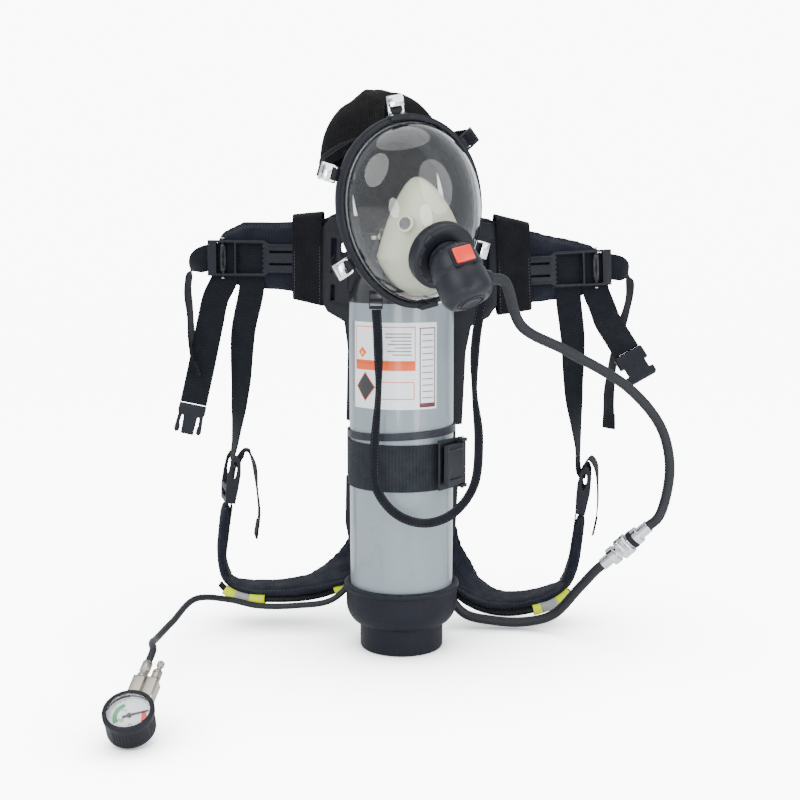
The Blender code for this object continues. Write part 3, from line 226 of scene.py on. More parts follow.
# %% Group: moulded grain, for plastics and rubbers
def make_grain_group():
    group, given, out = new_group(
        "moulded grain",
        [("Vector", VECTOR, None), ("Scale", FLOAT, 900.0), ("Blotch", FLOAT, 25.0), ("Base", FLOAT, 0.5),
        ("Spread", FLOAT, 0.1)],
        [("Roughness", FLOAT), ("Height", FLOAT), ("Blotch", FLOAT)],
    )
    fine = put(group, "ShaderNodeTexNoise", Vector=given["Vector"], Scale=given["Scale"], Detail=2.0)
    wide = put(group, "ShaderNodeTexNoise", Vector=given["Vector"], Scale=given["Blotch"], Detail=4.0)
    spread = sums(group, "MULTIPLY", sums(group, "SUBTRACT", wide.outputs[0], 0.5), given["Spread"])
    group.links.new(sums(group, "ADD", given["Base"], spread), out["Roughness"])
    group.links.new(fine.outputs[0], out["Height"])
    group.links.new(wide.outputs[0], out["Blotch"])
    return group


# %% Group: woven threads, for webbing and covers
def make_weave_group():
    group, given, out = new_group(
        "woven threads",
        [("Vector", VECTOR, None), ("Across", FLOAT, 900.0), ("Along", FLOAT, 900.0),
        ("Slant", FLOAT, 0.0)],
        [("Shade", FLOAT), ("Height", FLOAT)],
    )
    parts = put(group, "ShaderNodeSeparateXYZ", Vector=given["Vector"])
    slide = sums(group, "MULTIPLY", parts.outputs[0], given["Slant"])
    across = sums(group, "SINE", sums(group, "MULTIPLY", parts.outputs[0], given["Across"]))
    along = sums(group, "SINE", sums(group, "MULTIPLY", sums(group, "ADD", parts.outputs[1], slide),
        given["Along"]))
    knit = sums(group, "MULTIPLY", across, along)
    height = sums(group, "ADD", sums(group, "MULTIPLY", knit, 0.35), sums(group, "MULTIPLY", along, 0.25))
    noise = put(group, "ShaderNodeTexNoise", Vector=given["Vector"], Scale=60.0, Detail=5.0)
    shade = sums(group, "ADD", sums(group, "MULTIPLY", height, 0.5), noise.outputs[0])
    group.links.new(shade, out["Shade"])
    group.links.new(height, out["Height"])
    return group


# %% Group: edges rubbed by handling
def make_rub_group():
    group, given, out = new_group(
        "rubbed edges",
        [("Vector", VECTOR, None), ("Amount", FLOAT, 0.5)],
        [("Mask", FLOAT)],
    )
    point = put(group, "ShaderNodeNewGeometry").outputs["Pointiness"]
    edge = put(group, "ShaderNodeMapRange", Value=point, From_Min=0.52, From_Max=0.60, To_Min=0.0,
        To_Max=1.0)
    noise = put(group, "ShaderNodeTexNoise", Vector=given["Vector"], Scale=140.0, Detail=4.0)
    patch = put(group, "ShaderNodeMapRange", Value=noise.outputs[0], From_Min=0.40, From_Max=0.62)
    both = sums(group, "MULTIPLY", edge.outputs[0], patch.outputs[0])
    group.links.new(sums(group, "MULTIPLY", both, given["Amount"]), out["Mask"])
    return group


# %% Group: dust that settles on faces that look up
def make_dust_group():
    group, given, out = new_group(
        "settled dust",
        [("Vector", VECTOR, None), ("Amount", FLOAT, 0.15)],
        [("Mask", FLOAT)],
    )
    up = put(group, "ShaderNodeSeparateXYZ", Vector=put(group, "ShaderNodeNewGeometry").outputs["Normal"])
    top = put(group, "ShaderNodeMapRange", Value=up.outputs[2], From_Min=0.2, From_Max=1.0)
    noise = put(group, "ShaderNodeTexNoise", Vector=given["Vector"], Scale=35.0, Detail=8.0, Roughness=0.7)
    spots = put(group, "ShaderNodeMapRange", Value=noise.outputs[0], From_Min=0.35, From_Max=0.75)
    both = sums(group, "MULTIPLY", top.outputs[0], spots.outputs[0])
    group.links.new(sums(group, "MULTIPLY", both, given["Amount"]), out["Mask"])
    return group


GRAIN, WEAVE, RUB, DUST = make_grain_group(), make_weave_group(), make_rub_group(), make_dust_group()
print("groups:", [g.name for g in bpy.data.node_groups])


# %% [markdown]
# ### Hard finishes
# Mouldings, rubbers, paint and metal share one recipe: a grain that varies the roughness, a bump
# far finer than the eye resolves from a distance, brighter rubbed edges and a little dust.
# The colour of each finish is set a touch above black, because even black rubber reflects.

# %% Recipe for a hard finish
def hard_finish(
    name, colour, rough, metallic=0.0, coat=0.0, grain=900.0, bump=0.05, rub=0.4, rub_colour=None,
    dust=0.04,
    spread=0.15, tint=0.25, gloss=0.5,
):
    material, tree, shader = plain_finish(name, colour, rough)
    shader.inputs["Specular IOR Level"].default_value = gloss
    shader.inputs["Metallic"].default_value = metallic
    shader.inputs["Coat Weight"].default_value = coat
    place = put(tree, "ShaderNodeTexCoord").outputs["Object"]
    fine = put(tree, "ShaderNodeGroup", {"node_tree": GRAIN}, Vector=place, Scale=grain, Base=rough,
        Spread=spread)
    dark = (*[c * (1 - tint) for c in colour], 1)
    light = (*[min(1.0, c * (1 + tint)) for c in colour], 1)
    shade = blend_colour(tree, fine.outputs["Blotch"], dark, light)
    edge = put(tree, "ShaderNodeGroup", {"node_tree": RUB}, Vector=place, Amount=rub)
    bright = rub_colour or [min(1.0, c * 1.7 + 0.012) for c in colour]
    shade = blend_colour(tree, edge.outputs["Mask"], shade, (*bright, 1))
    settled = put(tree, "ShaderNodeGroup", {"node_tree": DUST}, Vector=place, Amount=dust)
    shade = blend_colour(tree, settled.outputs["Mask"], shade, (0.22, 0.22, 0.21, 1))
    relief = put(tree, "ShaderNodeBump", Height=fine.outputs["Height"], Strength=bump, Distance=0.0004)
    tree.links.new(shade, shader.inputs["Base Color"])
    tree.links.new(fine.outputs["Roughness"], shader.inputs["Roughness"])
    tree.links.new(relief.outputs[0], shader.inputs["Normal"])
    return material


PLASTIC = hard_finish("black moulding", (0.006, 0.007, 0.011), 0.42, grain=1400, bump=0.12, gloss=0.22)
SLATE = hard_finish("slate moulding", (0.007, 0.008, 0.013), 0.46, grain=1200, bump=0.15, gloss=0.22)
RUBBER = hard_finish("moulded rubber", (0.007, 0.008, 0.012), 0.48, grain=700, bump=0.10, gloss=0.22)
BOOT_RUBBER = hard_finish("boot rubber", (0.007, 0.008, 0.013), 0.50, grain=500, bump=0.18, dust=0.08,
    gloss=0.2)
VALVE_RUBBER = hard_finish("valve rubber", (0.008, 0.009, 0.014), 0.40, grain=700, bump=0.06, gloss=0.3)
HOSE_RUBBER = hard_finish("hose rubber", (0.012, 0.013, 0.016), 0.50, grain=600, bump=0.10, gloss=0.3)
CHROME = hard_finish("polished plating", (0.78, 0.79, 0.81), 0.10, 1.0, grain=300, bump=0.02, rub=0.0,
    dust=0.02, spread=0.10, tint=0.04)
NICKEL = hard_finish("dull nickel", (0.46, 0.42, 0.35), 0.30, 1.0, grain=500, bump=0.05, rub=0.6,
    rub_colour=(0.75, 0.70, 0.6), dust=0.05, tint=0.15)
GUNMETAL = hard_finish("dark plating", (0.035, 0.036, 0.040), 0.30, 1.0, grain=400, bump=0.04, rub=0.5,
    rub_colour=(0.30, 0.30, 0.31), dust=0.03, tint=0.10)
# Painted reflection: the visor's thick clear edge, which shows as a whitish glossy ring, is given an opaque
# grey colour.
BEAD = hard_finish("grey bead", (0.16, 0.165, 0.17), 0.22, coat=0.6, grain=600, bump=0.03, rub=0.0,
    dust=0.02, tint=0.06)
FLAP = hard_finish("grey flap", (0.055, 0.060, 0.062), 0.45, grain=600, bump=0.08, rub=0.0, dust=0.02,
    tint=0.10)
STEEL = hard_finish("bright steel", (0.66, 0.66, 0.67), 0.24, 1.0, grain=600, bump=0.04, rub=0.2, dust=0.02,
    tint=0.08)
ORANGE = hard_finish("orange moulding", (0.80, 0.020, 0.002), 0.30, coat=0.4, grain=1200, bump=0.04,
    rub=0.15, dust=0.03, tint=0.08)
SILICONE = hard_finish("cream silicone", (0.50, 0.52, 0.38), 0.42, grain=600, bump=0.06, rub=0.0, dust=0.03,
    tint=0.08)
BLACK = hard_finish("black print", (0.012, 0.012, 0.013), 0.50, rub=0.0, dust=0.02)
skin = SILICONE.node_tree.nodes["Principled BSDF"].inputs
skin["Subsurface Weight"].default_value, skin["Subsurface Scale"].default_value = 0.25, 0.004
# Painted glow: the orange moulding gives off a little light of its own, though it is no lamp.
glow = ORANGE.node_tree.nodes["Principled BSDF"].inputs
glow["Emission Color"].default_value, glow["Emission Strength"].default_value = (1.0, 0.04, 0.004, 1), 0.12
print("hard finishes:", len(bpy.data.materials))


# %% [markdown]
# ### Cloth finishes
# Webbing and covers follow the strap, so their threads are laid in the piece's own UV map, which
# this notebook always writes in metres. A faint sheen stands for the fuzz of the fibres.

# %% Recipe for a cloth finish
def cloth_finish(name, colour, light, across=2200.0, along=1500.0, slant=0.0, rough=0.85, bump=0.5,
        sheen=0.06, source="UV", lift=0.0006):
    material, tree, shader = plain_finish(name, colour, rough)
    shader.inputs["Sheen Weight"].default_value = sheen
    shader.inputs["Sheen Roughness"].default_value = 0.4
    shader.inputs["Specular IOR Level"].default_value = 0.12
    coords = put(tree, "ShaderNodeTexCoord")
    threads = put(
        tree, "ShaderNodeGroup", {"node_tree": WEAVE},
        Vector=coords.outputs[source], Across=across, Along=along, Slant=slant,
    )
    fuzz = put(tree, "ShaderNodeTexNoise", Vector=coords.outputs["Object"], Scale=400.0, Detail=3.0)
    shade = blend_colour(tree, threads.outputs["Shade"], (*colour, 1), (*light, 1))
    settled = put(tree, "ShaderNodeGroup", {"node_tree": DUST}, Vector=coords.outputs["Object"],
        Amount=0.10)
    shade = blend_colour(tree, settled.outputs["Mask"], shade, (0.30, 0.29, 0.27, 1))
    height = sums(tree, "ADD", threads.outputs["Height"], sums(tree, "MULTIPLY", fuzz.outputs[0], 0.5))
    relief = put(tree, "ShaderNodeBump", Height=height, Strength=bump, Distance=lift)
    rough_here = put(tree, "ShaderNodeMapRange", Value=fuzz.outputs[0], To_Min=rough - 0.08,
        To_Max=min(1.0, rough + 0.08))
    tree.links.new(shade, shader.inputs["Base Color"])
    tree.links.new(rough_here.outputs[0], shader.inputs["Roughness"])
    tree.links.new(relief.outputs[0], shader.inputs["Normal"])
    return material


WEBBING = cloth_finish("black webbing", (0.004, 0.0045, 0.007), (0.011, 0.013, 0.017))
TAPE = cloth_finish("grey brown tape", (0.022, 0.021, 0.021), (0.050, 0.047, 0.046))
PAD_CLOTH = cloth_finish("navy pad cloth", (0.006, 0.007, 0.013), (0.018, 0.020, 0.030), across=1600,
    along=1600, source="Object", lift=0.0004)
WRAP_CLOTH = cloth_finish("dark ribbed wrap", (0.004, 0.004, 0.0055), (0.010, 0.010, 0.013), across=1900,
    along=1900, source="Object")
NET_CLOTH = cloth_finish("head net", (0.002, 0.002, 0.0025), (0.009, 0.009, 0.010), across=1700, along=1700,
    slant=0.6, source="UV", lift=0.0010)
THREAD = cloth_finish("grey thread", (0.05, 0.053, 0.056), (0.11, 0.11, 0.115), source="Object")
NEON = cloth_finish("bright yellow tab", (0.50, 0.62, 0.0), (0.60, 0.70, 0.001), rough=0.6, sheen=0.0,
    source="UV")
SILVER = cloth_finish("reflective tab", (0.30, 0.30, 0.29), (0.42, 0.42, 0.41), rough=0.45, sheen=0.0,
    source="UV")
# Painted glow: the yellow tabs give off light of their own, though they are no lamp.
NEON.node_tree.nodes["Principled BSDF"].inputs["Emission Color"].default_value = (0.85, 0.95, 0.0, 1)
NEON.node_tree.nodes["Principled BSDF"].inputs["Emission Strength"].default_value = 0.25
print("cloth finishes ready")


# %% [markdown]
# ### Clear plastic
# The visor is a hard clear shell. It keeps a plain transmission, and lets light straight through
# to what is behind it, so that the inside of the mask isn't left in the dark.

# %% Clear finish
def clear_finish(name, colour, rough, ior):
    material, tree, shader = plain_finish(name, colour, rough)
    shader.inputs["Transmission Weight"].default_value = 1.0
    shader.inputs["IOR"].default_value = ior
    place = put(tree, "ShaderNodeTexCoord").outputs["Object"]
    fine = put(tree, "ShaderNodeGroup", {"node_tree": GRAIN}, Vector=place, Scale=400.0, Base=rough,
        Spread=0.04)
    tree.links.new(fine.outputs["Roughness"], shader.inputs["Roughness"])
    through = put(tree, "ShaderNodeBsdfTransparent", Color=(0.97, 0.98, 0.98, 1))
    ray = put(tree, "ShaderNodeLightPath").outputs["Is Shadow Ray"]
    mixed = put(tree, "ShaderNodeMixShader", i0=ray, i1=shader.outputs[0], i2=through.outputs[0])
    output = tree.nodes["Material Output"]
    tree.links.new(mixed.outputs[0], output.inputs["Surface"])
    return material


VISOR = clear_finish("clear visor", (0.96, 0.97, 0.97), 0.015, 1.45)
LENS = clear_finish("clear lens", (0.98, 0.98, 0.98), 0.01, 1.45)
print("clear finishes ready")

# %% [markdown]
# ## Ways of making a piece
# Most pieces here are one of four kinds: turned about an axis, cut from a flat sheet and laid
# along a route, carried over from the engineering solid and softened, or swept round the oval of
# the mask. Each kind gets one helper, so that the cells after this hold only sizes and places.

# %% Places and curves
def basis(origin, x, z):
    """A frame with local +Z along z and local +X as near x as it can be."""
    z = Vector(z).normalized()
    x = Vector(x)
    x = (x - x.dot(z) * z).normalized()
    y = z.cross(x)
    return Matrix([[x[i], y[i], z[i], origin[i]] for i in range(3)] + [[0, 0, 0, 1]])


def smooth(points, count):
    """A smooth curve through the points, as count even samples."""
    pts = np.array(points, float)
    knots = np.concatenate([[0.0], np.cumsum(np.sqrt(np.linalg.norm(np.diff(pts[:, :3], axis=0), axis=1)))])
    slopes = np.empty_like(pts)
    inner = np.diff(pts, axis=0) / np.diff(knots)[:, None]
    slopes[0], slopes[-1] = inner[0], inner[-1]
    before, after = np.diff(knots)[:-1, None], np.diff(knots)[1:, None]
    slopes[1:-1] = (inner[:-1] * after + inner[1:] * before) / (before + after)
    fine = np.linspace(0, knots[-1], 60 * len(pts))
    index = np.clip(np.searchsorted(knots, fine, side="right") - 1, 0, len(pts) - 2)
    width = (knots[index + 1] - knots[index])[:, None]
    t = (fine - knots[index])[:, None] / width
    dense = (
        (2 * t**3 - 3 * t**2 + 1) * pts[index]
        + (t**3 - 2 * t**2 + t) * width * slopes[index]
        + (-2 * t**3 + 3 * t**2) * pts[index + 1]
        + (t**3 - t**2) * width * slopes[index + 1]
    )
    run = np.concatenate([[0.0], np.cumsum(np.linalg.norm(np.diff(dense[:, :3], axis=0), axis=1))])
    even = np.linspace(0, run[-1], count)
    return np.stack([np.interp(even, run, dense[:, k]) for k in range(pts.shape[1])], axis=1)


def finished(name, bm, finish, nodes=(), body="harness", angle=38, matrix=None):
    if matrix is not None:
        bmesh.ops.transform(bm, matrix=matrix, verts=bm.verts)
    for face in bm.faces:
        face.smooth = True
    for edge in bm.edges:
        edge.smooth = edge.calc_face_angle(0.0) < radians(angle)
    mesh = bpy.data.meshes.new(name)
    bm.to_mesh(mesh)
    bm.free()
    mesh.materials.append(finish)
    obj = bpy.data.objects.new(name, mesh)
    SCENE.collection.objects.link(obj)
    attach(obj, body)
    if nodes:
        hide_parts(*nodes)
    return obj


# %% Turned pieces, softened edges and carried-over solids
def turned(profile, steps=72, closed=False):
    """Spins a profile of (radius, height) points about local Z."""
    bm = bmesh.new()
    points = [bm.verts.new((r, 0, z)) for r, z in profile]
    edges = [bm.edges.new(pair) for pair in zip(points, points[1:] + points[:1] * closed)]
    bmesh.ops.spin(
        bm, geom=points + edges, cent=(0, 0, 0), axis=(0, 0, 1), dvec=(0, 0, 0),
        angle=2 * pi, steps=steps, use_merge=True, use_duplicate=False,
    )
    bmesh.ops.remove_doubles(bm, verts=bm.verts, dist=1e-6)
    bmesh.ops.recalc_face_normals(bm, faces=bm.faces)
    return bm


def softened(bm, width, segments=2, angle=30, clamp=True):
    sharp = [e for e in bm.edges if e.is_manifold and e.calc_face_angle(0) > radians(angle)]
    bmesh.ops.bevel(
        bm, geom=sharp, offset=width, offset_type="OFFSET", affect="EDGES", segments=segments,
        profile=0.5, material=-1, clamp_overlap=clamp,
    )
    return bm


def carried(node, finish, width=0.0006, segments=2, body="harness", name=None, angle=30):
    """A merged copy of an engineering solid with its edges rounded over."""
    bm = bmesh.new()
    bm.from_mesh(NODES[node].data)
    bmesh.ops.remove_doubles(bm, verts=bm.verts, dist=2e-6)
    bmesh.ops.dissolve_limit(bm, angle_limit=radians(2), verts=bm.verts, edges=bm.edges)
    if width:
        softened(bm, width, segments, angle, clamp=False)
    return finished(name or node + "_soft", bm, finish, (node,), body)


def block(size, centre=(0, 0, 0), bevel=0.0008, segments=2):
    """A rounded block in its own frame."""
    bm = bmesh.new()
    bmesh.ops.create_cube(bm, size=1, matrix=Matrix.Translation(centre) @ Matrix.Diagonal((*size, 1)))
    if bevel:
        softened(bm, bevel, segments)
    return bm


def plate(loop, thick, bevel=0.0006):
    """A flat shape cut from sheet: a loop in local XY, raised to a thickness about local Z = 0."""
    bm = bmesh.new()
    face = bm.faces.new([bm.verts.new((x, y, -thick / 2)) for x, y in loop])
    raised = bmesh.ops.extrude_face_region(bm, geom=[face])["geom"]
    moved = [g for g in raised if isinstance(g, bmesh.types.BMVert)]
    bmesh.ops.translate(bm, verts=moved, vec=(0, 0, thick))
    bmesh.ops.recalc_face_normals(bm, faces=bm.faces)
    if bevel:
        softened(bm, bevel)
    return bm


# %% Straps: cut flat, then laid along a route
class Route:
    """Even samples of a strap's middle line, with the directions across and off the face."""

    def __init__(self, stations, count):
        rows = smooth(stations, count)
        self.points = rows[:, :3]
        along = np.gradient(self.points, axis=0)
        self.along = along / np.linalg.norm(along, axis=1)[:, None]
        side = rows[:, 3:] - (rows[:, 3:] * self.along).sum(1)[:, None] * self.along
        self.across = side / np.linalg.norm(side, axis=1)[:, None]
        self.off = np.cross(self.along, self.across)
        self.run = np.concatenate([[0.0], np.cumsum(np.linalg.norm(np.diff(self.points, axis=0), axis=1))])

    def at(self, run, u=0.0, lift=0.0):
        mix = [np.array([np.interp(run, self.run, rows[:, k]) for k in range(3)]) for rows in (self.points,
            self.across, self.off)]
        return Vector(mix[0] + mix[1] * u + mix[2] * lift)

    def frame_at(self, run):
        take = [Vector([np.interp(run, self.run, rows[:, k]) for k in range(3)]) for rows in (self.points,
            self.across, self.off)]
        return basis(take[0], take[1], take[2])


def laid_strap(name, route, width, thick, finish, nodes=(), body="harness", across=8, crown=0.0,
        part=(0.0, 1.0), lift=0.0, offset=0.0, wave=0.0, loop=False, edge=0.35):
    """A strap cut as a flat grid and bent along the route, with its UV map in metres."""
    low, high = part[0] * route.run[-1], part[1] * route.run[-1]
    rows = max(8, int(len(route.run) * (part[1] - part[0])))
    bm = bmesh.new()
    uv = bm.loops.layers.uv.new("UVMap")
    bmesh.ops.create_grid(bm, x_segments=across, y_segments=rows, size=1)
    for face in bm.faces:
        for corner in face.loops:
            x, y, _ = corner.vert.co
            corner[uv].uv = (x * width / 2, low + (y + 1) / 2 * (high - low))
    for vert in bm.verts:
        x, y, _ = vert.co
        run = low + (y + 1) / 2 * (high - low)
        rise = lift + crown * (1 - x * x) + wave * sin(run * 90 + x * 1.3) * sin(run * 37)
        vert.co = route.at(run, offset + x * width / 2, rise)
    if loop:
        bmesh.ops.remove_doubles(bm, verts=bm.verts, dist=1e-5)
    obj = finished(name, bm, finish, nodes, body, angle=60)
    solid = obj.modifiers.new("thickness", "SOLIDIFY")
    solid.thickness, solid.offset = thick, 0.0
    if edge:
        round_over = obj.modifiers.new("edges", "BEVEL")
        round_over.width, round_over.segments = thick * edge, 2
        round_over.limit_method, round_over.angle_limit = "ANGLE", radians(60)
    return obj


def sewn(name, spots, finish=None, size=(0.0026, 0.0007, 0.0005)):
    """A row of stitches: one small rounded bar at each (point, along, up)."""
    bm = bmesh.new()
    for point, along, up in spots:
        place = basis(point, along, up) @ Matrix.Diagonal((*size, 1))
        bmesh.ops.create_icosphere(bm, subdivisions=1, radius=0.5, matrix=place)
    return finished(name, bm, finish or THREAD)


def strap_seam(name, route, u, lift, step=0.0045, part=(0.0, 1.0), finish=None):
    low, high = part[0] * route.run[-1], part[1] * route.run[-1]
    spots = []
    for run in np.arange(low + step / 2, high, step):
        point, ahead = route.at(run, u, lift), route.at(run + step / 3, u, lift)
        spots.append((point, ahead - point if (ahead - point).length > 1e-6 else (0, 0, 1),
            route.at(run, u, lift + 1) - point))
    return sewn(name, spots, finish)


print("helpers ready")


# %% [markdown]
# ## Hoses
# Three hoses leave the pressure reducer behind the cylinder's neck. The thick breathing hose is in
# two lengths with a quick coupling between them, and the thin one feeds the gauge. A hose is a
# fixed length of something springy, so each is one smooth curve that leaves its fitting straight.
# The routes come before everything else that is made, because they decide how far the set spreads.

# %% Frames of the fittings
MASK_YAW, MASK_PITCH, MASK_ROLL = radians(25.0), radians(6.0), radians(13.0)
MASK_OUT = Vector((sin(MASK_YAW) * cos(MASK_PITCH), -cos(MASK_YAW) * cos(MASK_PITCH), -sin(MASK_PITCH)))
MASK_UP = Vector((sin(MASK_PITCH) * sin(MASK_YAW), -sin(MASK_PITCH) * cos(MASK_YAW), cos(MASK_PITCH)))
MASK_SIDE = Vector((cos(MASK_YAW), sin(MASK_YAW), 0.0))
MASK = basis((0.0128, -0.125, 0.586), cos(MASK_ROLL) * MASK_SIDE + sin(MASK_ROLL) * MASK_UP, MASK_OUT)
OVAL_A, OVAL_B, OVAL_K, VISOR_H = 0.088, 0.110, 0.09, 0.072
PORT_U, PORT_TILT, PORT_R, DRUM_R, DRUM_L = -0.045, radians(18.0), 0.0412, 0.0315, 0.072
DRUM_PORT = Vector((0, PORT_U, VISOR_H * sqrt(1 - (PORT_U / OVAL_B) ** 2)))
PORT_AXIS = Vector((0, -sin(PORT_TILT), cos(PORT_TILT)))
DRUM_AXIS = Vector((0, -0.83, 0.56)).normalized()
DRUM_C = DRUM_PORT + 0.0345 * PORT_AXIS + 0.010 * DRUM_AXIS
INLET_AXIS, INLET_END = Vector((0.93, -0.35, -0.10)).normalized(), 0.044
GAP = 0.0003
GAUGE = basis((-0.3000, -0.3360, 0.0140), (1, 0, 0),
    (0, -sin(radians(27.6)), cos(radians(27.6)))) @ Matrix.Rotation(radians(-8.0), 4, "Z")
COUPLING_A, COUPLING_B = Vector((0.2793, 0.0150, 0.1083)), Vector((0.3368, -0.0050, 0.1672))
COUPLING = basis(COUPLING_A, (0, 1, 0), COUPLING_B - COUPLING_A)
VALVE_Z, REDUCER_Y = 0.580, 0.0560
PORT_Z = VALVE_Z - 0.0272 - GAP


# %% Hose curves
def hose(name, route, count, radius):
    curve = bpy.data.curves.new(name, "CURVE")
    curve.dimensions = "3D"
    curve.bevel_depth = radius
    curve.bevel_resolution = 6
    curve.use_fill_caps = True
    curve.materials.append(HOSE_RUBBER)
    rows = smooth(route, count)
    spline = curve.splines.new("POLY")
    spline.points.add(len(rows) - 1)
    for point, row in zip(spline.points, rows):
        point.co = (*row, 1.0)
    spline.use_smooth = True
    obj = bpy.data.objects.new(name, curve)
    SCENE.collection.objects.link(obj)
    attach(obj, "harness")
    return obj, float(np.linalg.norm(np.diff(rows, axis=0), axis=1).sum())


COUPLING_AXIS = (COUPLING_B - COUPLING_A).normalized()
inlet = MASK @ (DRUM_C + INLET_AXIS * (INLET_END + GAP))
inlet_out = (MASK.to_3x3() @ INLET_AXIS) * 0.020
UPPER_ROUTE = [
    tuple(COUPLING_B + COUPLING_AXIS * GAP), tuple(COUPLING_B + COUPLING_AXIS * 0.016),
    (0.3560, -0.006, 0.1960),
    (0.3620, -0.010, 0.2480), (0.3480, -0.020, 0.3020), (0.2960, -0.055, 0.3620), (0.2080, -0.100, 0.4150),
    (0.1480, -0.130, 0.4480), tuple(inlet + inlet_out), tuple(inlet),
]
LOWER_ROUTE = [
    (0.036, REDUCER_Y, PORT_Z), (0.036, REDUCER_Y, PORT_Z - 0.012), (0.0480, 0.0630, 0.5000),
    (0.0570, 0.0668, 0.4500),
    (0.0580, 0.0668, 0.3500), (0.0580, 0.0668, 0.2000), (0.0590, 0.0672, 0.1100), (0.0660, 0.0690, 0.0550),
    (0.0900, 0.0670, 0.0220), (0.1300, 0.0640, 0.0125), (0.1750, 0.0610, 0.0110), (0.2150, 0.0500, 0.0250),
    (0.2480, 0.0320, 0.0680), tuple(COUPLING_A - COUPLING_AXIS * 0.014),
    tuple(COUPLING_A - COUPLING_AXIS * GAP),
]
stem = GAUGE @ Vector((-0.0065, 0.0855, 0.0150))
GAUGE_ROUTE = [
    (-0.036, REDUCER_Y, PORT_Z), (-0.036, REDUCER_Y, PORT_Z - 0.012), (-0.0480, 0.0630, 0.5000),
    (-0.0570, 0.0668, 0.4500),
    (-0.0580, 0.0668, 0.3500), (-0.0580, 0.0668, 0.2000), (-0.0590, 0.0680, 0.1250),
    (-0.0680, 0.0690, 0.0750),
    (-0.1000, 0.0660, 0.0420), (-0.1500, 0.0650, 0.0340), (-0.2050, 0.0640, 0.0340),
    (-0.2450, 0.0540, 0.0460),
    (-0.2830, 0.0100, 0.0610), (-0.3010, -0.0800, 0.0560), (-0.3080, -0.1500, 0.0570),
    (-0.3000, -0.2150, 0.0730),
    tuple(stem + (GAUGE.to_3x3() @ Vector((0, 1, 0))) * 0.018), tuple(stem),
]
upper_hose, upper_length = hose("breathing_hose_upper_tube", UPPER_ROUTE, 120, 0.0068)
lower_hose, lower_length = hose("breathing_hose_lower_tube", LOWER_ROUTE, 160, 0.0068)
gauge_line, gauge_length = hose("gauge_hose_tube", GAUGE_ROUTE, 200, 0.0044)
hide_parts("breathing_hose_upper")
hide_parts("breathing_hose_lower")
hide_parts("gauge_hose")
print("hose lengths:", round(upper_length, 3), round(lower_length, 3), round(gauge_length, 3))


# %% [markdown]
# ## Quick coupling
# The coupling's parts are turned from bar, so each is a profile spun round its axis. The grip ring
# of the sliding sleeve is ribbed by pushing every other strip of its surface inwards.

# %% Coupling parts
def ribbed(bm, low, high, count, depth, inner=0.0):
    """Fine ribs along a turned piece, between two heights."""
    for vert in bm.verts:
        r = hypot(vert.co.x, vert.co.y)
        if low <= vert.co.z <= high and r > inner:
            a = atan2(vert.co.y, vert.co.x)
            keep = 1 - depth / r * (0.5 - 0.5 * cos(a * count))
            vert.co.x, vert.co.y = vert.co.x * keep, vert.co.y * keep
    return bm


def rows_of(radius, low, high, count):
    return [(radius, z) for z in np.linspace(low, high, count)]


coupling_length = (COUPLING_B - COUPLING_A).length
socket_profile = [(0, 0.0515), (0.0090, 0.0515), (0.0095, 0.0510), (0.0095, 0.0260), (0.0124, 0.0256),
    (0.0130, 0.0250)]
socket_profile += [(0.0130, 0.0156), (0.0124, 0.0150), (0.0085, 0.0148), (0.0085, 0.0120), (0.0079, 0.0115),
    (0.0079, 0.0095)]
socket_profile += [(0.0085, 0.0090), (0.0085, 0.0065), (0.0079, 0.0060), (0.0079, 0.0040), (0.0085, 0.0035),
    (0.0085, 0), (0, 0)]
socket = finished("coupling_socket_body", turned(socket_profile, 64), CHROME, ("coupling_socket",),
    matrix=COUPLING)
sleeve_profile = [(0.0098, 0.0185), (0.0132, 0.0185), (0.0140, 0.0180)] + rows_of(0.0148, 0.0172, 0.0100, 4)
sleeve_profile += [(0.0141, 0.0095), (0.0141, 0.0080)] + rows_of(0.0148, 0.0072, 0.0012,
    4) + [(0.0138, 0.0), (0.0098, 0.0)]
grip = ribbed(turned(sleeve_profile, 144, closed=True), 0.0008, 0.0176, 36, 0.0008, 0.0142)
sleeve = finished("coupling_sleeve_grip", grip, CHROME, ("coupling_sleeve",), "sleeve", 50,
    COUPLING @ Matrix.Translation((0, 0, 0.0310)))
end = coupling_length
plug_profile = [(0, end), (0.0080, end), (0.0085, end - 0.0005), (0.0085, end - 0.003),
    (0.0079, end - 0.0035), (0.0079, end - 0.0050)]
plug_profile += [(0.0085, end - 0.0055), (0.0085, 0.0680), (0.0114, 0.0676), (0.0120, 0.0670),
    (0.0120, 0.0596), (0.0114, 0.0590)]
plug_profile += [(0.0095, 0.0585), (0.0095, 0.0518), (0, 0.0518)]
plug = finished("coupling_plug_body", turned(plug_profile, 64), CHROME, ("coupling_plug",), matrix=COUPLING)
collar_profile = [(0.0096, 0.0520), (0.0126, 0.0520), (0.0126, 0.0580), (0.0096, 0.0580)]
collar = finished("coupling_collar", softened(turned(collar_profile, 64, True), 0.0006), RUBBER,
    matrix=COUPLING)
print("coupling length:", round(coupling_length, 4))


# %% [markdown]
# ## Cylinder and boot
# A steel cylinder is painted all over, with black and white quarters on its shoulder, and stands in
# a thick rubber boot. Both are turned shapes. The quarters follow from the sign of x times y, so
# the paint needs no map: object coordinates are enough, because the cylinder's axis is at x = y = 0.

# %% Cylinder paint
PAINT_EDGE_Z = 0.4722


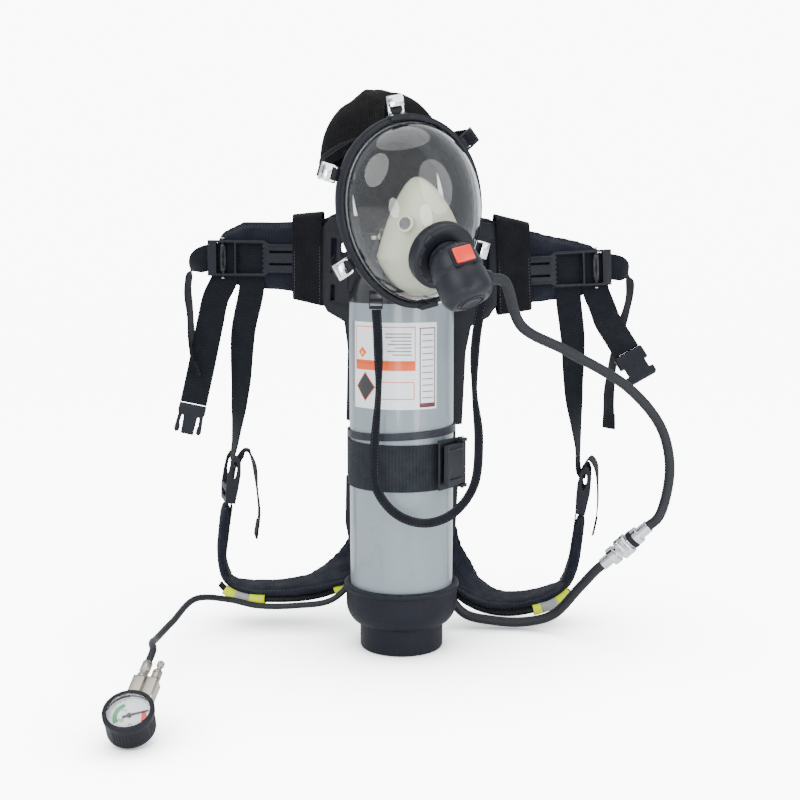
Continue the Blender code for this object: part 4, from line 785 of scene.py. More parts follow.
def make_cylinder_paint():
    material = hard_finish("cylinder paint", (0.225, 0.268, 0.300), 0.30, coat=0.5, grain=500, bump=0.10,
        rub=0.15, dust=0.05, tint=0.06)
    tree = material.node_tree
    shader = tree.nodes["Principled BSDF"]
    grey = shader.inputs["Base Color"].links[0].from_socket
    parts = put(tree, "ShaderNodeSeparateXYZ", Vector=put(tree, "ShaderNodeTexCoord").outputs["Object"])
    x, y, z = parts.outputs
    quarter = sums(tree, "GREATER_THAN", sums(tree, "MULTIPLY", x, y), 0.0)
    checker = blend_colour(tree, quarter, (0.80, 0.82, 0.82, 1), (0.012, 0.012, 0.014, 1))
    above = sums(tree, "GREATER_THAN", z, PAINT_EDGE_Z)
    tree.links.new(blend_colour(tree, above, grey, checker), shader.inputs["Base Color"])
    return material


def bottle_base(r):
    return 0.075 - 0.050 * sqrt(max(0.0, 1 - (r / 0.070) ** 2))


neck_angle = float(np.arcsin(0.0165 / 0.070))
bottle = [(0, 0.5465), (0.0158, 0.5465), (0.0165, 0.5458)]
bottle += [(0.070 * sin(a), 0.470 + 0.066 * cos(a)) for a in np.linspace(neck_angle, pi / 2, 28)]
bottle += [(0.070, z) for z in np.linspace(0.45, 0.10, 8)] + [(r, bottle_base(r)) for r in (0.070, 0.067,
    0.060, 0.048, 0.030)]
PAINT = make_cylinder_paint()
finished("painted_cylinder", turned(bottle + [(0, 0.025)], 128), PAINT, ("cylinder",))
print("cylinder bottom at", bottle_base(0.0))


# %% Rubber boot
boot = [(0.0706, 0.0890), (0.0712, 0.0905), (0.0768, 0.0905), (0.0783, 0.0896), (0.0788, 0.0880),
    (0.0786, 0.0850), (0.0776, 0.0834)]
boot += [(0.0757, 0.0825), (0.0757, 0.0620), (0.0752, 0.0565), (0.0740, 0.0520), (0.0720, 0.0470),
    (0.0695, 0.0430), (0.0665, 0.0395)]
boot += [(0.0640, 0.0375), (0.0605, 0.0358), (0.0580, 0.0350), (0.0570, 0.0335), (0.0567, 0.0310),
    (0.0567, 0.0030), (0.0562, 0.0010), (0.0548, 0.0)]
boot += [(0.0480, 0.0)] + [(r, bottle_base(r) - 0.0012) for r in (0.0480, 0.0600, 0.0670)] + [(0.0706,
    0.0740)]
finished("rubber_boot", turned(boot, 128, closed=True), BOOT_RUBBER, ("cylinder_boot",))
print("boot points:", len(boot))


# %% [markdown]
# ## Cylinder label
# The label is thin film, wrapped round the paint. Each area of print is its own patch, cut as a flat
# grid and bent to the cylinder, a fraction of a millimetre above the patch below. The real label's
# wording is left off: plain bars stand where lines of print would be.

# %% Label film and its patches
def film(name, colour, rough=0.35):
    return hard_finish(name, colour, rough, coat=0.3, rub=0.0, dust=0.03, bump=0.03, tint=0.05)


WHITE_FILM, ORANGE_FILM, MAROON_FILM = film("white film", (0.88, 0.90, 0.92)), film("orange film",
    (0.80, 0.10, 0.004)), film("maroon film", (0.12, 0.008, 0.016))
GREY_FILM, BLACK_FILM, YELLOW_FILM = film("grey film", (0.20, 0.215, 0.23)), film("black film",
    (0.015, 0.015, 0.017)), film("yellow film", (0.95, 0.60, 0.04))


def wrapped(name, shapes, level, finish):
    """Areas bent to the cylinder: (angle low, angle high, z low, z high), or a diamond as
    (angle, z, half angle, half z, "diamond")."""
    bm = bmesh.new()
    radius = 0.0701 + level * 0.00012
    for shape in shapes:
        turned_grid = len(shape) == 5
        cells = 12 if turned_grid else max(1, int(abs(shape[1] - shape[0]) / 3))
        made = bmesh.ops.create_grid(bm, x_segments=cells, y_segments=cells if turned_grid else 1,
            size=0.5)["verts"]
        for vert in made:
            u, v = vert.co.x, vert.co.y
            if turned_grid:
                a, z = shape[0] + (u + v) * shape[2], shape[1] + (v - u) * shape[3]
            else:
                a = shape[0] + (u + 0.5) * (shape[1] - shape[0])
                z = shape[2] + (v + 0.5) * (shape[3] - shape[2])
            vert.co = (radius * sin(radians(a)), -radius * cos(radians(a)), z)
    bmesh.ops.recalc_face_normals(bm, faces=bm.faces)
    outward = sum(f.normal.dot(Vector((f.calc_center_median().x, f.calc_center_median().y,
        0))) for f in bm.faces)
    if outward < 0:
        bmesh.ops.reverse_faces(bm, faces=bm.faces)
    return finished(name, bm, finish)


def outline_box(a0, a1, z0, z1, line_a, line_z):
    return [
        (a0, a1, z0, z0 + line_z), (a0, a1, z1 - line_z, z1), (a0, a0 + line_a, z0 + line_z, z1 - line_z),
        (a1 - line_a, a1, z0 + line_z, z1 - line_z),
    ]


def diamond(a, z, half_a, half_z):
    return (a, z, half_a, half_z, "diamond")


wrapped("label_base", [(-60.5, 40.5, 0.3357, 0.4482)], 0, WHITE_FILM)
wrapped("label_edge_strip", [(-67.0, -61.2, 0.3421, 0.4482)], 0, GREY_FILM)
orange = outline_box(-57.4, 15.0, 0.3952, 0.4430, 0.9, 0.0011) + [(-57.4, 15.0, 0.3861, 0.3991)]
orange += outline_box(-26.5, 13.9, 0.3487, 0.3719, 0.9, 0.0011)
wrapped("label_orange", orange + [diamond(-46.4, 0.4090, 6.0, 0.0072),
    diamond(-42.4, 0.3642, 13.4, 0.0196)], 1, ORANGE_FILM)
wrapped("label_yellow", [diamond(-46.4, 0.4082, 2.6, 0.0036)], 2, YELLOW_FILM)
wrapped("label_black", [diamond(-42.4, 0.3642, 12.2, 0.0180)], 2, BLACK_FILM)
bars = [(10.6 - span, 10.6, z, z + 0.0016) for span,
    z in ((28, 0.4330), (28, 0.4285), (22, 0.4240), (25, 0.4195), (18, 0.4150), (26, 0.4105), (20, 0.4060))]
wrapped("label_bars", bars, 1, GREY_FILM)
maroon = outline_box(19.4, 38.4, 0.3383, 0.4417, 1.2, 0.0014) + [(19.4, 38.4, 0.3383, 0.3440)]
wrapped("label_maroon", maroon, 1, MAROON_FILM)
wrapped("label_marks", [(22.5, 35.5, z, z + 0.0014) for z in np.linspace(0.350, 0.432, 11)], 1, GREY_FILM)
print("label patches done")


# %% [markdown]
# ## Rubber band, wide strap and buckle
# A stretched rubber ring keeps stray straps in, and a wide ribbed strap with an over-centre buckle
# holds the cylinder to the backplate. The strap is laid along its whole loop, the way it is worn in,
# so that its ribs run round it; the buckle is carried over and softened.

# %% Rubber band
BAND_RUBBER = hard_finish("band rubber", (0.012, 0.014, 0.022), 0.38, grain=500, bump=0.06, dust=0.03,
    gloss=0.3)
band_profile = [(0.0709, 0.0046), (0.0718, 0.0050), (0.0727, 0.0050), (0.0734, 0.0046), (0.0734, -0.0046),
    (0.0727, -0.0050), (0.0718, -0.0050), (0.0709, -0.0046)]
band_tilt = Matrix.Translation((0, 0, 0.3005)) @ Matrix.Rotation(radians(-3), 4, "Y")
finished("stretched_band", turned(band_profile, 128, closed=True), BAND_RUBBER, ("rubber_band",),
    matrix=band_tilt)
print("band at", tuple(round(c, 4) for c in band_tilt.translation))

# %% Wide strap round the cylinder
BAND_LOW, BAND_HIGH = 0.227, 0.289
r, middle = 0.0716, (BAND_LOW + BAND_HIGH) / 2
loop = [(r * sin(radians(a)), -r * cos(radians(a)), middle, 0, 0, 1) for a in np.linspace(-95, 95, 20)]
edge, back = 0.0745, 0.0836
loop += [(edge, 0.045, middle, 0, 0, 1), (edge + 0.0005, 0.070, middle, 0, 0, 1),
    (edge - 0.0022, back - 0.0012, middle, 0, 0, 1), (edge - 0.007, back, middle, 0, 0, 1)]
loop += [(x, back, middle, 0, 0, 1) for x in (0.045, 0.0, -0.045, -edge + 0.007)]
loop += [(-edge + 0.0022, back - 0.0012, middle, 0, 0, 1), (-edge - 0.0005, 0.070, middle, 0, 0, 1),
    (-edge, 0.045, middle, 0, 0, 1), loop[0]]
BAND_ROUTE = Route(loop, 240)
RIBBED = cloth_finish("ribbed band", (0.010, 0.012, 0.016), (0.030, 0.034, 0.040), across=2600, along=1400,
    lift=0.0010, bump=0.7)
laid_strap("wide_cylinder_strap", BAND_ROUTE, BAND_HIGH - BAND_LOW, 0.0020, RIBBED, ("cylinder_band",),
    across=16, loop=True)
for u in (-0.0275, 0.0275):
    strap_seam(f"wide_strap_seam_{'low' if u < 0 else 'high'}", BAND_ROUTE, u, -0.0011, 0.006)
print("strap loop:", round(BAND_ROUTE.run[-1], 3))

# %% Over-centre buckle
BUCKLE_ANGLE = radians(52.0)
BUCKLE = basis((0, 0, middle + 0.004), (sin(BUCKLE_ANGLE), -cos(BUCKLE_ANGLE), 0), (0, 0, 1))
HINGE = BUCKLE @ Matrix.Translation((0.0888, 0.017, 0))
carried("cam_buckle_base", VALVE_RUBBER, 0.0009, 3)
carried("cam_lever", VALVE_RUBBER, 0.0008, 3, "cam")
pin = [(0, 0.0352), (0.0012, 0.0352), (0.0018, 0.0346), (0.0018, -0.0346), (0.0012, -0.0352), (0, -0.0352)]
finished("cam_pin_bar", turned(pin, 32), CHROME, ("cam_pin",), matrix=HINGE)
for z in (-0.0200, 0.0200):
    finished(f"lever_rib_{'low' if z < 0 else 'high'}",
        block((0.0018, 0.030, 0.0030), (0.0038, -0.0200, z), 0.0006), VALVE_RUBBER, body="cam",
        matrix=HINGE)
print("buckle hinge at", [round(c, 4) for c in HINGE.translation])


# %% [markdown]
# ## Backplate
# The backplate is one moulding with slots, a window for the carrying hand and raised panels. The
# engineering solid has its outline, so a softened copy is used, with ribs and bolt heads added.

# %% Backplate, ribs and bolts
carried("backplate", PLASTIC, 0.0011, 3, name="moulded_backplate")
PLATE_X, PLATE_BACK = 0.004, 0.0820
stand = Matrix.Translation((PLATE_X, 0, 0.30)) @ Matrix.Rotation(radians(2.0), 4,
    "Y") @ Matrix.Translation((-PLATE_X, 0, -0.30))
for index, x in enumerate((-0.050, 0.050)):
    for part, (low, high) in enumerate(((0.155, 0.215), (0.300, 0.440))):
        rib = block((0.0050, 0.0036, high - low), (PLATE_X + x, PLATE_BACK + 0.0008, (low + high) / 2),
            0.0012)
        finished(f"plate_rib_{index}_{part}", rib, PLASTIC, matrix=stand)
for index, (x, z) in enumerate(((-0.086, 0.470), (0.086, 0.470), (-0.086, 0.574), (0.086, 0.574),
        (-0.030, 0.450), (0.030, 0.450))):
    head = turned([(0, 0.0024), (0.0030, 0.0024), (0.0046, 0.0014), (0.0052, 0.0), (0, 0.0)], 24)
    finished(f"plate_bolt_{index}", head, STEEL, matrix=stand @ basis((PLATE_X + x, PLATE_BACK - 0.0002, z),
        (1, 0, 0), (0, 1, 0)))


# %% [markdown]
# ## Waist belt
# Each half of the belt is a foam pad under a cloth cover. Foam pushes its cover out between the
# seams, so each pad is cut a little small, given even squares by a voxel remesh, and blown up by a
# cloth simulation with pressure and no gravity. The stitched channel near the edge is pressed in
# after that, because a remesh would fill it.

# %% The belt's frames and the pads' outlines
BELT_YAW, WEB_W, WEB_T, PULL_W = radians(5.0), 0.038, 0.0016, 0.036
BELT = {
    -1: {"name": "left", "origin": (-0.115, 0.0, 0.527), "tilt": radians(0.5), "wrap": (0.002, 0.043)},
    1: {"name": "right", "origin": (0.138, 0.0, 0.5085), "tilt": radians(2.5), "wrap": (0.002, 0.049)},
}
PAD = {
    -1: [(-0.030, 0.072), (0.005, 0.061), (0.048, 0.058), (0.120, 0.056), (0.150, 0.040), (0.166, 0.008),
    (0.164, -0.022),
         (0.142, -0.042), (0.088, -0.049), (0.045, -0.053), (0.000, -0.062), (-0.030, -0.072)],
    1: [(-0.036, 0.083), (-0.007, 0.080), (0.030, 0.069), (0.085, 0.053), (0.120, 0.044), (0.148, 0.031),
    (0.158, 0.006),
        (0.153, -0.024), (0.131, -0.044), (0.085, -0.050), (0.041, -0.052), (-0.001, -0.057),
        (-0.036, -0.063)],
}
PAD_FRONT, PAD_THICK, WEB_Y, SLIDER_Y = 0.0862, 0.014, 0.0843, 0.0788


def belt_frame(side, depth=0.0):
    """Local X outward along the belt, Y up, Z square to it, at a depth back from the belt's front plane."""
    spec = BELT[side]
    x = Vector((side * cos(BELT_YAW) * cos(spec["tilt"]), sin(BELT_YAW), sin(spec["tilt"])))
    frame = basis(spec["origin"], x, x.cross(Vector((0, 0, 1))).normalized())
    return frame @ Matrix.Translation((0, 0, -side * depth))


def belt_point(side, x, z, depth):
    return belt_frame(side, depth) @ Vector((x, z, 0))


# %% Blowing up a pad
def baked(obj):
    """The object's mesh with its modifiers applied."""
    bpy.context.view_layer.update()
    mesh = bpy.data.meshes.new_from_object(obj.evaluated_get(bpy.context.evaluated_depsgraph_get()))
    obj.modifiers.clear()
    obj.data = mesh
    return obj


def coordinates(mesh):
    flat = np.empty(len(mesh.vertices) * 3)
    mesh.vertices.foreach_get("co", flat)
    return flat.reshape(-1, 3)


def blown_up(obj, cap, pressure=4.0, voxel=0.0045):
    even = obj.modifiers.new("even squares", "REMESH")
    even.mode, even.voxel_size = "VOXEL", voxel
    baked(obj)
    before = coordinates(obj.data)
    cloth = obj.modifiers.new("cover", "CLOTH")
    cloth.settings.quality = 4
    cloth.settings.use_pressure = True
    cloth.settings.uniform_pressure_force = pressure
    cloth.settings.effector_weights.gravity = 0
    cloth.point_cache.frame_start, cloth.point_cache.frame_end = 1, 20
    for moment in range(1, 21):
        SCENE.frame_set(moment)
    baked(obj)
    SCENE.frame_set(1)
    moved = coordinates(obj.data) - before
    length = np.linalg.norm(moved, axis=1)[:, None]
    obj.data.vertices.foreach_set("co", (before + moved * np.minimum(1, cap / np.maximum(length,
        1e-9))).ravel())
    rounder = obj.modifiers.new("smoother", "SUBSURF")
    rounder.levels = rounder.render_levels = 1
    return baked(obj)


def pressed(obj, depth_at):
    """Moves the skin inwards by depth_at(points), as a line of stitching does."""
    points = coordinates(obj.data)
    normals = np.array([v.normal for v in obj.data.vertices])
    obj.data.vertices.foreach_set("co", (points - normals * depth_at(points, normals)[:, None]).ravel())
    obj.data.update()
    obj.data.shade_smooth()


def edge_distance(points, loop):
    """Distance of each 2-D point from a closed loop of straight sides."""
    best = np.full(len(points), 9.0)
    for a, b in zip(loop, loop[1:] + loop[:1]):
        a, b = np.array(a), np.array(b)
        t = np.clip(((points - a) @ (b - a)) / ((b - a) @ (b - a)), 0, 1)
        best = np.minimum(best, np.linalg.norm(points - a - t[:, None] * (b - a), axis=1))
    return best


def inset_walk(loop, inset, step):
    """Even points along a loop drawn in from its edge."""
    corners = []
    centre = np.mean(loop, axis=0)
    for before, here, after in zip(loop[-1:] + loop[:-1], loop, loop[1:] + loop[:1]):
        u, w = np.subtract(here, before), np.subtract(after, here)
        u, w = u / np.linalg.norm(u), w / np.linalg.norm(w)
        normal = np.array([u[1] + w[1], -u[0] - w[0]])
        normal /= max(1e-9, np.linalg.norm(normal))
        if normal @ (np.array(here) - centre) < 0:
            normal = -normal
        corners.append(np.array(here) - normal * inset / max(0.6, sqrt((1 + u @ w) / 2)))
    corners.append(corners[0])
    run = np.concatenate([[0], np.cumsum([np.linalg.norm(b - a) for a, b in zip(corners, corners[1:])])])
    corners = np.array(corners)
    return [np.array([np.interp(s, run, corners[:, k]) for k in range(2)]) for s in np.arange(0, run[-1],
        step)]


print("pad helpers ready")


# %% Waist pads and their stitching
def skin_spots(obj, walk, frame, face):
    """Stitch places on the skin: the walk in local XY dropped onto the skin from one side."""
    spots = []
    way = frame.to_3x3() @ Vector((0, 0, -face))
    for here, ahead in zip(walk, walk[1:] + walk[:1]):
        start = frame @ Vector((here[0], here[1], 0.03 * face))
        hit, place, normal, _ = obj.ray_cast(start, way)
        if hit:
            along = frame.to_3x3() @ Vector((ahead[0] - here[0], ahead[1] - here[1], 0))
            if along.length > 1e-6:
                spots.append((place + normal * 0.0001, along, normal))
    return spots


def make_waist_pad(side):
    name = BELT[side]["name"]
    frame = belt_frame(side, PAD_FRONT + PAD_THICK / 2)
    loop = [tuple(p) for p in inset_walk(PAD[side], 0.0022, 0.006)]
    pad = finished(f"waist_pad_{name}_cushion", plate(loop, PAD_THICK - 0.0045, 0.0), PAD_CLOTH,
        (f"waist_pad_{name}",), matrix=frame)
    blown_up(pad, 0.0040)
    inverse = np.array(frame.inverted())

    def channel(points, normals):
        local = points @ inverse[:3, :3].T + inverse[:3, 3]
        facing = np.abs(normals @ inverse[:3, :3].T)[:, 2]
        distance = edge_distance(local[:, :2], PAD[side])
        return 0.0016 * np.exp(-(((distance - 0.0105) / 0.0024) ** 2)) * (facing > 0.5)

    pressed(pad, channel)
    walk = inset_walk(PAD[side], 0.0105, 0.0046)
    bpy.context.view_layer.update()
    sewn(f"waist_pad_{name}_stitches", skin_spots(pad, walk, frame, 1) + skin_spots(pad, walk, frame, -1))
    return pad


waist_pads = [make_waist_pad(side) for side in (-1, 1)]
print("waist pads:", [len(pad.data.polygons) for pad in waist_pads])


# %% [markdown]
# ## Belt wraps, sliders and rollers
# A sewn sleeve holds each pad's layers together, and a moulded slider in front of it holds the
# webbing. The sleeve is a closed loop of stout cloth, laid as a strap is. The slider carries over
# with its windows and teeth; its roller and pins are turned.

# %% Belt wraps
def edge_height(side, x, top):
    points = sorted(p for p in PAD[side] if (p[1] > 0) == top)
    return float(np.interp(x, [p[0] for p in points], [p[1] for p in points]))


def make_wrap(side):
    name = BELT[side]["name"]
    x0, x1 = BELT[side]["wrap"]
    mid = (x0 + x1) / 2
    top, low = edge_height(side, mid, True) + 0.0019, edge_height(side, mid, False) - 0.0019
    front, back, turn = 0.0741, 0.1018, 0.0035
    ring = [(low + turn, front), (0.0, front), (top - turn, front), (top, front + turn), (top, back - turn),
        (top - turn, back)]
    ring += [(0.0, back), (low + turn, back), (low, back - turn), (low, front + turn), (low + turn, front)]
    across = tuple(belt_point(side, 1, 0, 0) - belt_point(side, 0, 0, 0))
    route = Route([(*belt_point(side, mid, z, depth), *across) for z, depth in ring], 140)
    wrap = laid_strap(f"belt_wrap_{name}_sleeve", route, x1 - x0, 0.0018, WRAP_CLOTH,
        (f"belt_wrap_{name}",), across=10, loop=True, wave=0.0003)
    slope = (edge_height(side, x1, True) - edge_height(side, x0, True)) / (x1 - x0)
    fall = (edge_height(side, x1, False) - edge_height(side, x0, False)) / (x1 - x0)
    frame = belt_frame(side)
    for vert in wrap.data.vertices:
        local = frame.inverted() @ vert.co
        share = (local.y - low) / (top - low)
        local.y += (local.x - mid) * (slope * share + fall * (1 - share))
        vert.co = frame @ local
    way = frame.to_3x3()
    for end in (x0 + 0.0028, x1 - 0.0028):
        spots = []
        lower = edge_height(side, end, False) + 0.002
        for z in np.arange(lower, edge_height(side, end, True) - 0.002, 0.0044):
            for depth, face in ((front - 0.0011, side), (back + 0.0011, -side)):
                spots.append((belt_point(side, end, z, depth), way @ Vector((0, 1, 0)),
                    way @ Vector((0, 0, face))))
        sewn(f"belt_wrap_{name}_stitches_{'inner' if end < mid else 'outer'}", spots, THREAD,
            (0.0030, 0.0009, 0.0006))


for side in (-1, 1):
    make_wrap(side)
print("wraps done")

# %% Sliders, rollers and pins
PIN_R, ROLL_R, SLIDER_H = 0.0022, 0.0040, 0.050
for side in (-1, 1):
    name = BELT[side]["name"]
    carried(f"belt_adjuster_{name}", SLATE, 0.0008, 3)
    axis = belt_point(side, 0.164 - 0.0217, 0, SLIDER_Y)
    up = belt_point(side, 0.164 - 0.0217, 1, SLIDER_Y) - axis
    h = SLIDER_H / 2
    half = [(0, h + 0.0022), (PIN_R - 0.0004, h + 0.0022), (PIN_R, h + 0.0018), (PIN_R, h - 0.0060),
        (ROLL_R - 0.0004, h - 0.0064), (ROLL_R, h - 0.0068)]
    profile = half + [(ROLL_R, z) for z in np.linspace(h - 0.010, -h + 0.010, 5)] + [(r, -z) for r,
        z in reversed(half)]
    roller = ribbed(turned(profile, 120), -h + 0.008, h - 0.008, 20, 0.0005, 0.003)
    place = basis(axis, (1, 0, 0), up)
    finished(f"roller_{name}", roller, GUNMETAL, (f"adjuster_roller_{name}",), f"roller_{name}", 50, place)
    for end in (-1, 1):
        cap = softened(turned([(0, 0.0010), (PIN_R + 0.0012, 0.0010), (PIN_R + 0.0012, 0.0), (0, 0.0)], 32),
            0.0003)
        spot = place @ Matrix.Translation((0, 0,
            end * (h + 0.0024))) @ (Matrix() if end > 0 else Matrix.Rotation(pi, 4, "X"))
        finished(f"roller_pin_{name}_{'top' if end > 0 else 'low'}", cap, CHROME, body=f"roller_{name}",
            matrix=spot)
    for row, z in enumerate((-0.0185, 0.0185)):
        rib = block((0.060, 0.0024, 0.0016), (0.050, z, 0.0), 0.0006)
        finished(f"slider_rib_{name}_{row}", rib, SLATE, matrix=belt_frame(side, SLIDER_Y - 0.0036))
print("sliders done")


# %% [markdown]
# ## Webbing
# All straps are woven flat, so each is cut as a flat grid and bent along its route. It keeps the
# flat lengths as its UV map, and the weave never stretches. Where a strap ends, its tip is folded
# over and sewn down with a box of stitches.

# %% Waist webbing and its free ends
def belt_stations(side):
    flat = [belt_point(side, 0.142, z, WEB_Y) for z in (0.021, 0.005, -0.012, -0.029)]
    along = tuple(side * c for c in belt_point(side, 1, 0, 0) - belt_point(side, 0, 0, 0))
    if side < 0:
        rest = [(-0.2620, 0.0945, 0.472), (-0.2690, 0.090, 0.440), (-0.2820, 0.080, 0.375),
            (-0.2925, 0.070, 0.3250)]
        across = [along] * 5 + [(1, 0, 0.1), (1, 0, 0.15), (1, 0, 0.15)]
    else:
        rest = [(0.2840, 0.0945, 0.458), (0.2900, 0.090, 0.441), (0.3020, 0.080, 0.420),
            (0.3150, 0.070, 0.3980)]
        across = [along] * 5 + [(1, 0, 0.25), (1, 0, 0.40), (1, 0, 0.45)]
    return [(*p, *a) for p, a in zip([tuple(p) for p in flat] + rest, across)]


def belt_tail_stations(side):
    start, over = belt_point(side, 0.128, 0, WEB_Y), belt_point(side, 0.166, 0, WEB_Y)
    if side < 0:
        rest = [(-0.2945, 0.100, 0.515), (-0.3010, 0.098, 0.490), (-0.2975, 0.092, 0.440),
            (-0.2935, 0.086, 0.395), (-0.2825, 0.082, 0.362)]
        across = [(0, 0, 1), (0, 0, 1), (0.2, 0.5, 0.8), (0.1, 1, 0.2), (0.1, 1, 0), (0.1, 1, 0),
            (0.1, 1, 0)]
    else:
        rest = [(0.3190, 0.104, 0.508), (0.3240, 0.106, 0.480), (0.3110, 0.108, 0.420),
            (0.2980, 0.104, 0.350), (0.2970, 0.100, 0.285)]
        across = [(0, 0, 1), (0, 0, 1), (-0.2, 0.5, 0.8), (-0.1, 1, 0.2), (-0.1, 1, 0), (-0.2, 1, 0),
            (-0.3, 1, 0)]
    return [(*p, *a) for p, a in zip([tuple(start), tuple(over)] + rest, across)]


def folded_tip(name, route, width, thick, length, finish):
    """The doubled end of a strap: a short second layer and its sewn box."""
    part = (1 - length / route.run[-1], 0.998)
    laid_strap(name + "_fold", route, width * 0.98, thick * 0.8, finish, part=part, lift=thick * 0.9,
        across=4)
    for u in (-width * 0.36, width * 0.36):
        strap_seam(f"{name}_box_{'a' if u < 0 else 'b'}", route, u, thick * 1.35, 0.004, part)
    spots = []
    for run in (route.run[-1] - length + 0.002, route.run[-1] - 0.003):
        for u in np.arange(-width * 0.34, width * 0.35, 0.0040):
            point = route.at(run, u, thick * 1.35)
            spots.append((point, route.at(run, u + 0.001, thick * 1.35) - point,
                route.at(run, u, 1) - point))
    sewn(name + "_box_ends", spots)


for side in (-1, 1):
    name = BELT[side]["name"]
    main, tail = Route(belt_stations(side), 90), Route(belt_tail_stations(side), 110)
    laid_strap(f"waist_webbing_{name}_strap", main, WEB_W, WEB_T, WEBBING, (f"waist_webbing_{name}",))
    laid_strap(f"waist_tail_{name}_strap", tail, WEB_W * 0.95, WEB_T * 0.86, WEBBING, wave=0.0008)
    folded_tip(f"waist_tail_{name}", tail, WEB_W * 0.95, WEB_T, 0.022, WEBBING)
print("waist webbing done")


# %% Shoulder webbing
def shoulder_web_stations(side):
    flat = [belt_point(side, 0.1035, z, WEB_Y) for z in (0.021, 0.000, -0.022, -0.044)]
    along = tuple(side * c for c in belt_point(side, 1, 0, 0) - belt_point(side, 0, 0, 0))
    if side < 0:
        rest = [(-0.2240, 0.097, 0.425), (-0.2300, 0.102, 0.345), (-0.2395, 0.107, 0.268),
        (-0.2440, 0.108, 0.236), (-0.2395, 0.109, 0.229),
                (-0.2335, 0.1115, 0.242), (-0.2240, 0.1115, 0.2505), (-0.2140, 0.107, 0.236),
                (-0.2090, 0.102, 0.200), (-0.2060, 0.101, 0.160), (-0.2110, 0.100, 0.126)]
        turns = [(1, -0.25, 0), (0.8, -0.6, 0), (0.35, -0.9, 0)] + [(0.3, -1, 0)] * 5 + [(0.2, -1, 0)] * 3
    else:
        rest = [(0.2430, 0.097, 0.415), (0.2465, 0.102, 0.340), (0.2545, 0.107, 0.262),
        (0.2570, 0.108, 0.222), (0.2615, 0.108, 0.216),
                (0.2665, 0.108, 0.232), (0.2720, 0.107, 0.2420), (0.2800, 0.104, 0.232),
                (0.2840, 0.102, 0.195), (0.2830, 0.101, 0.160), (0.2770, 0.100, 0.130)]
        turns = [(1, 0.25, 0), (0.8, 0.6, 0), (0.35, 0.9, 0)] + [(0.3, 1, 0)] * 5 + [(0.2, 1, 0)] * 3
    return [(*p, *a) for p, a in zip([tuple(p) for p in flat] + rest, [along] * 4 + turns)]


for side in (-1, 1):
    name = BELT[side]["name"]
    route = Route(shoulder_web_stations(side), 200)
    laid_strap(f"shoulder_webbing_{name}_strap", route, PULL_W, WEB_T, WEBBING,
        (f"shoulder_webbing_{name}",), wave=0.0004)
    folded_tip(f"shoulder_webbing_{name}", route, PULL_W, WEB_T, 0.024, WEBBING)
print("shoulder webbing done")


# %% [markdown]
# ## Strap hardware
# The side-release buckle and the strap adjusters are mouldings with real prongs, mouths and slots,
# which carry over. Each has a bright cross bar, made from round wire, that the strap turns over.

# %% Side release buckle
def buckle_pose(side):
    rows = smooth(belt_stations(side), 18)
    low, before = Vector(rows[-1][:3]), Vector(rows[-2][:3])
    down = (low - before).normalized()
    return basis(low + down * 2 * GAP, rows[-1][3:], down)


def bar(length, radius):
    """A straight wire bar along local Z with rounded ends."""
    h = length / 2
    return turned([(0, h), (radius * 0.7, h - radius * 0.25), (radius, h - radius), (radius, -h + radius),
        (radius * 0.7, -h + radius * 0.25), (0, -h)], 24)


carried("side_release_male", SLATE, 0.0007, 3)
carried("side_release_female", SLATE, 0.0008, 3)
for side in (-1, 1):
    pose = buckle_pose(side) @ basis((0, 0, 0.0035), (0, 1, 0), (1, 0, 0))
    finished(f"side_release_bar_{BELT[side]['name']}", bar(0.034, 0.0013), CHROME,
        matrix=pose @ Matrix.Translation((-0.0042 if side < 0 else -0.0066, 0, 0)))
print("side release done")

# %% Shoulder strap adjusters
ADJUST = {
    -1: {"origin": (-0.2462, 0.108, 0.2120), "across": (0.28, -0.96, 0.0), "up": (0.14, 0.0, 0.99)},
    1: {"origin": (0.2640, 0.108, 0.1960), "across": (0.20, 0.98, 0.0), "up": (0.12, 0.0, 0.99)},
}


def adjuster_pose(side):
    spec = ADJUST[side]
    across = Vector(spec["across"]).normalized()
    return basis(spec["origin"], Vector(spec["up"]).cross(across), across)


for side in (-1, 1):
    name = BELT[side]["name"]
    pose = adjuster_pose(side)
    carried(f"shoulder_adjuster_{name}", SLATE, 0.0007, 3)
    for place, (x, y, radius) in {"lower": (0.0010, -0.0300, 0.0026), "middle": (0.0, -0.0060, 0.0018),
            "upper": (0.0005, 0.0200, 0.0018)}.items():
        finished(f"adjuster_bar_{name}_{place}", bar(0.0455, radius), CHROME if place == "lower" else SLATE,
            matrix=pose @ Matrix.Translation((x, y, 0)))
print("adjusters done")


# %% [markdown]
# ## Shoulder pads
# The shoulder pads are long foam cushions that lie on edge behind the set. Each is blown up as the
# waist pads are, then sewn along both sides. A carrying tape runs along the outer face and a thin
# sleeve below it guides the hose, with bright and silver tabs sewn over both.

# %% Shoulder pads
STRAP_W, STRAP_T = 0.058, 0.014


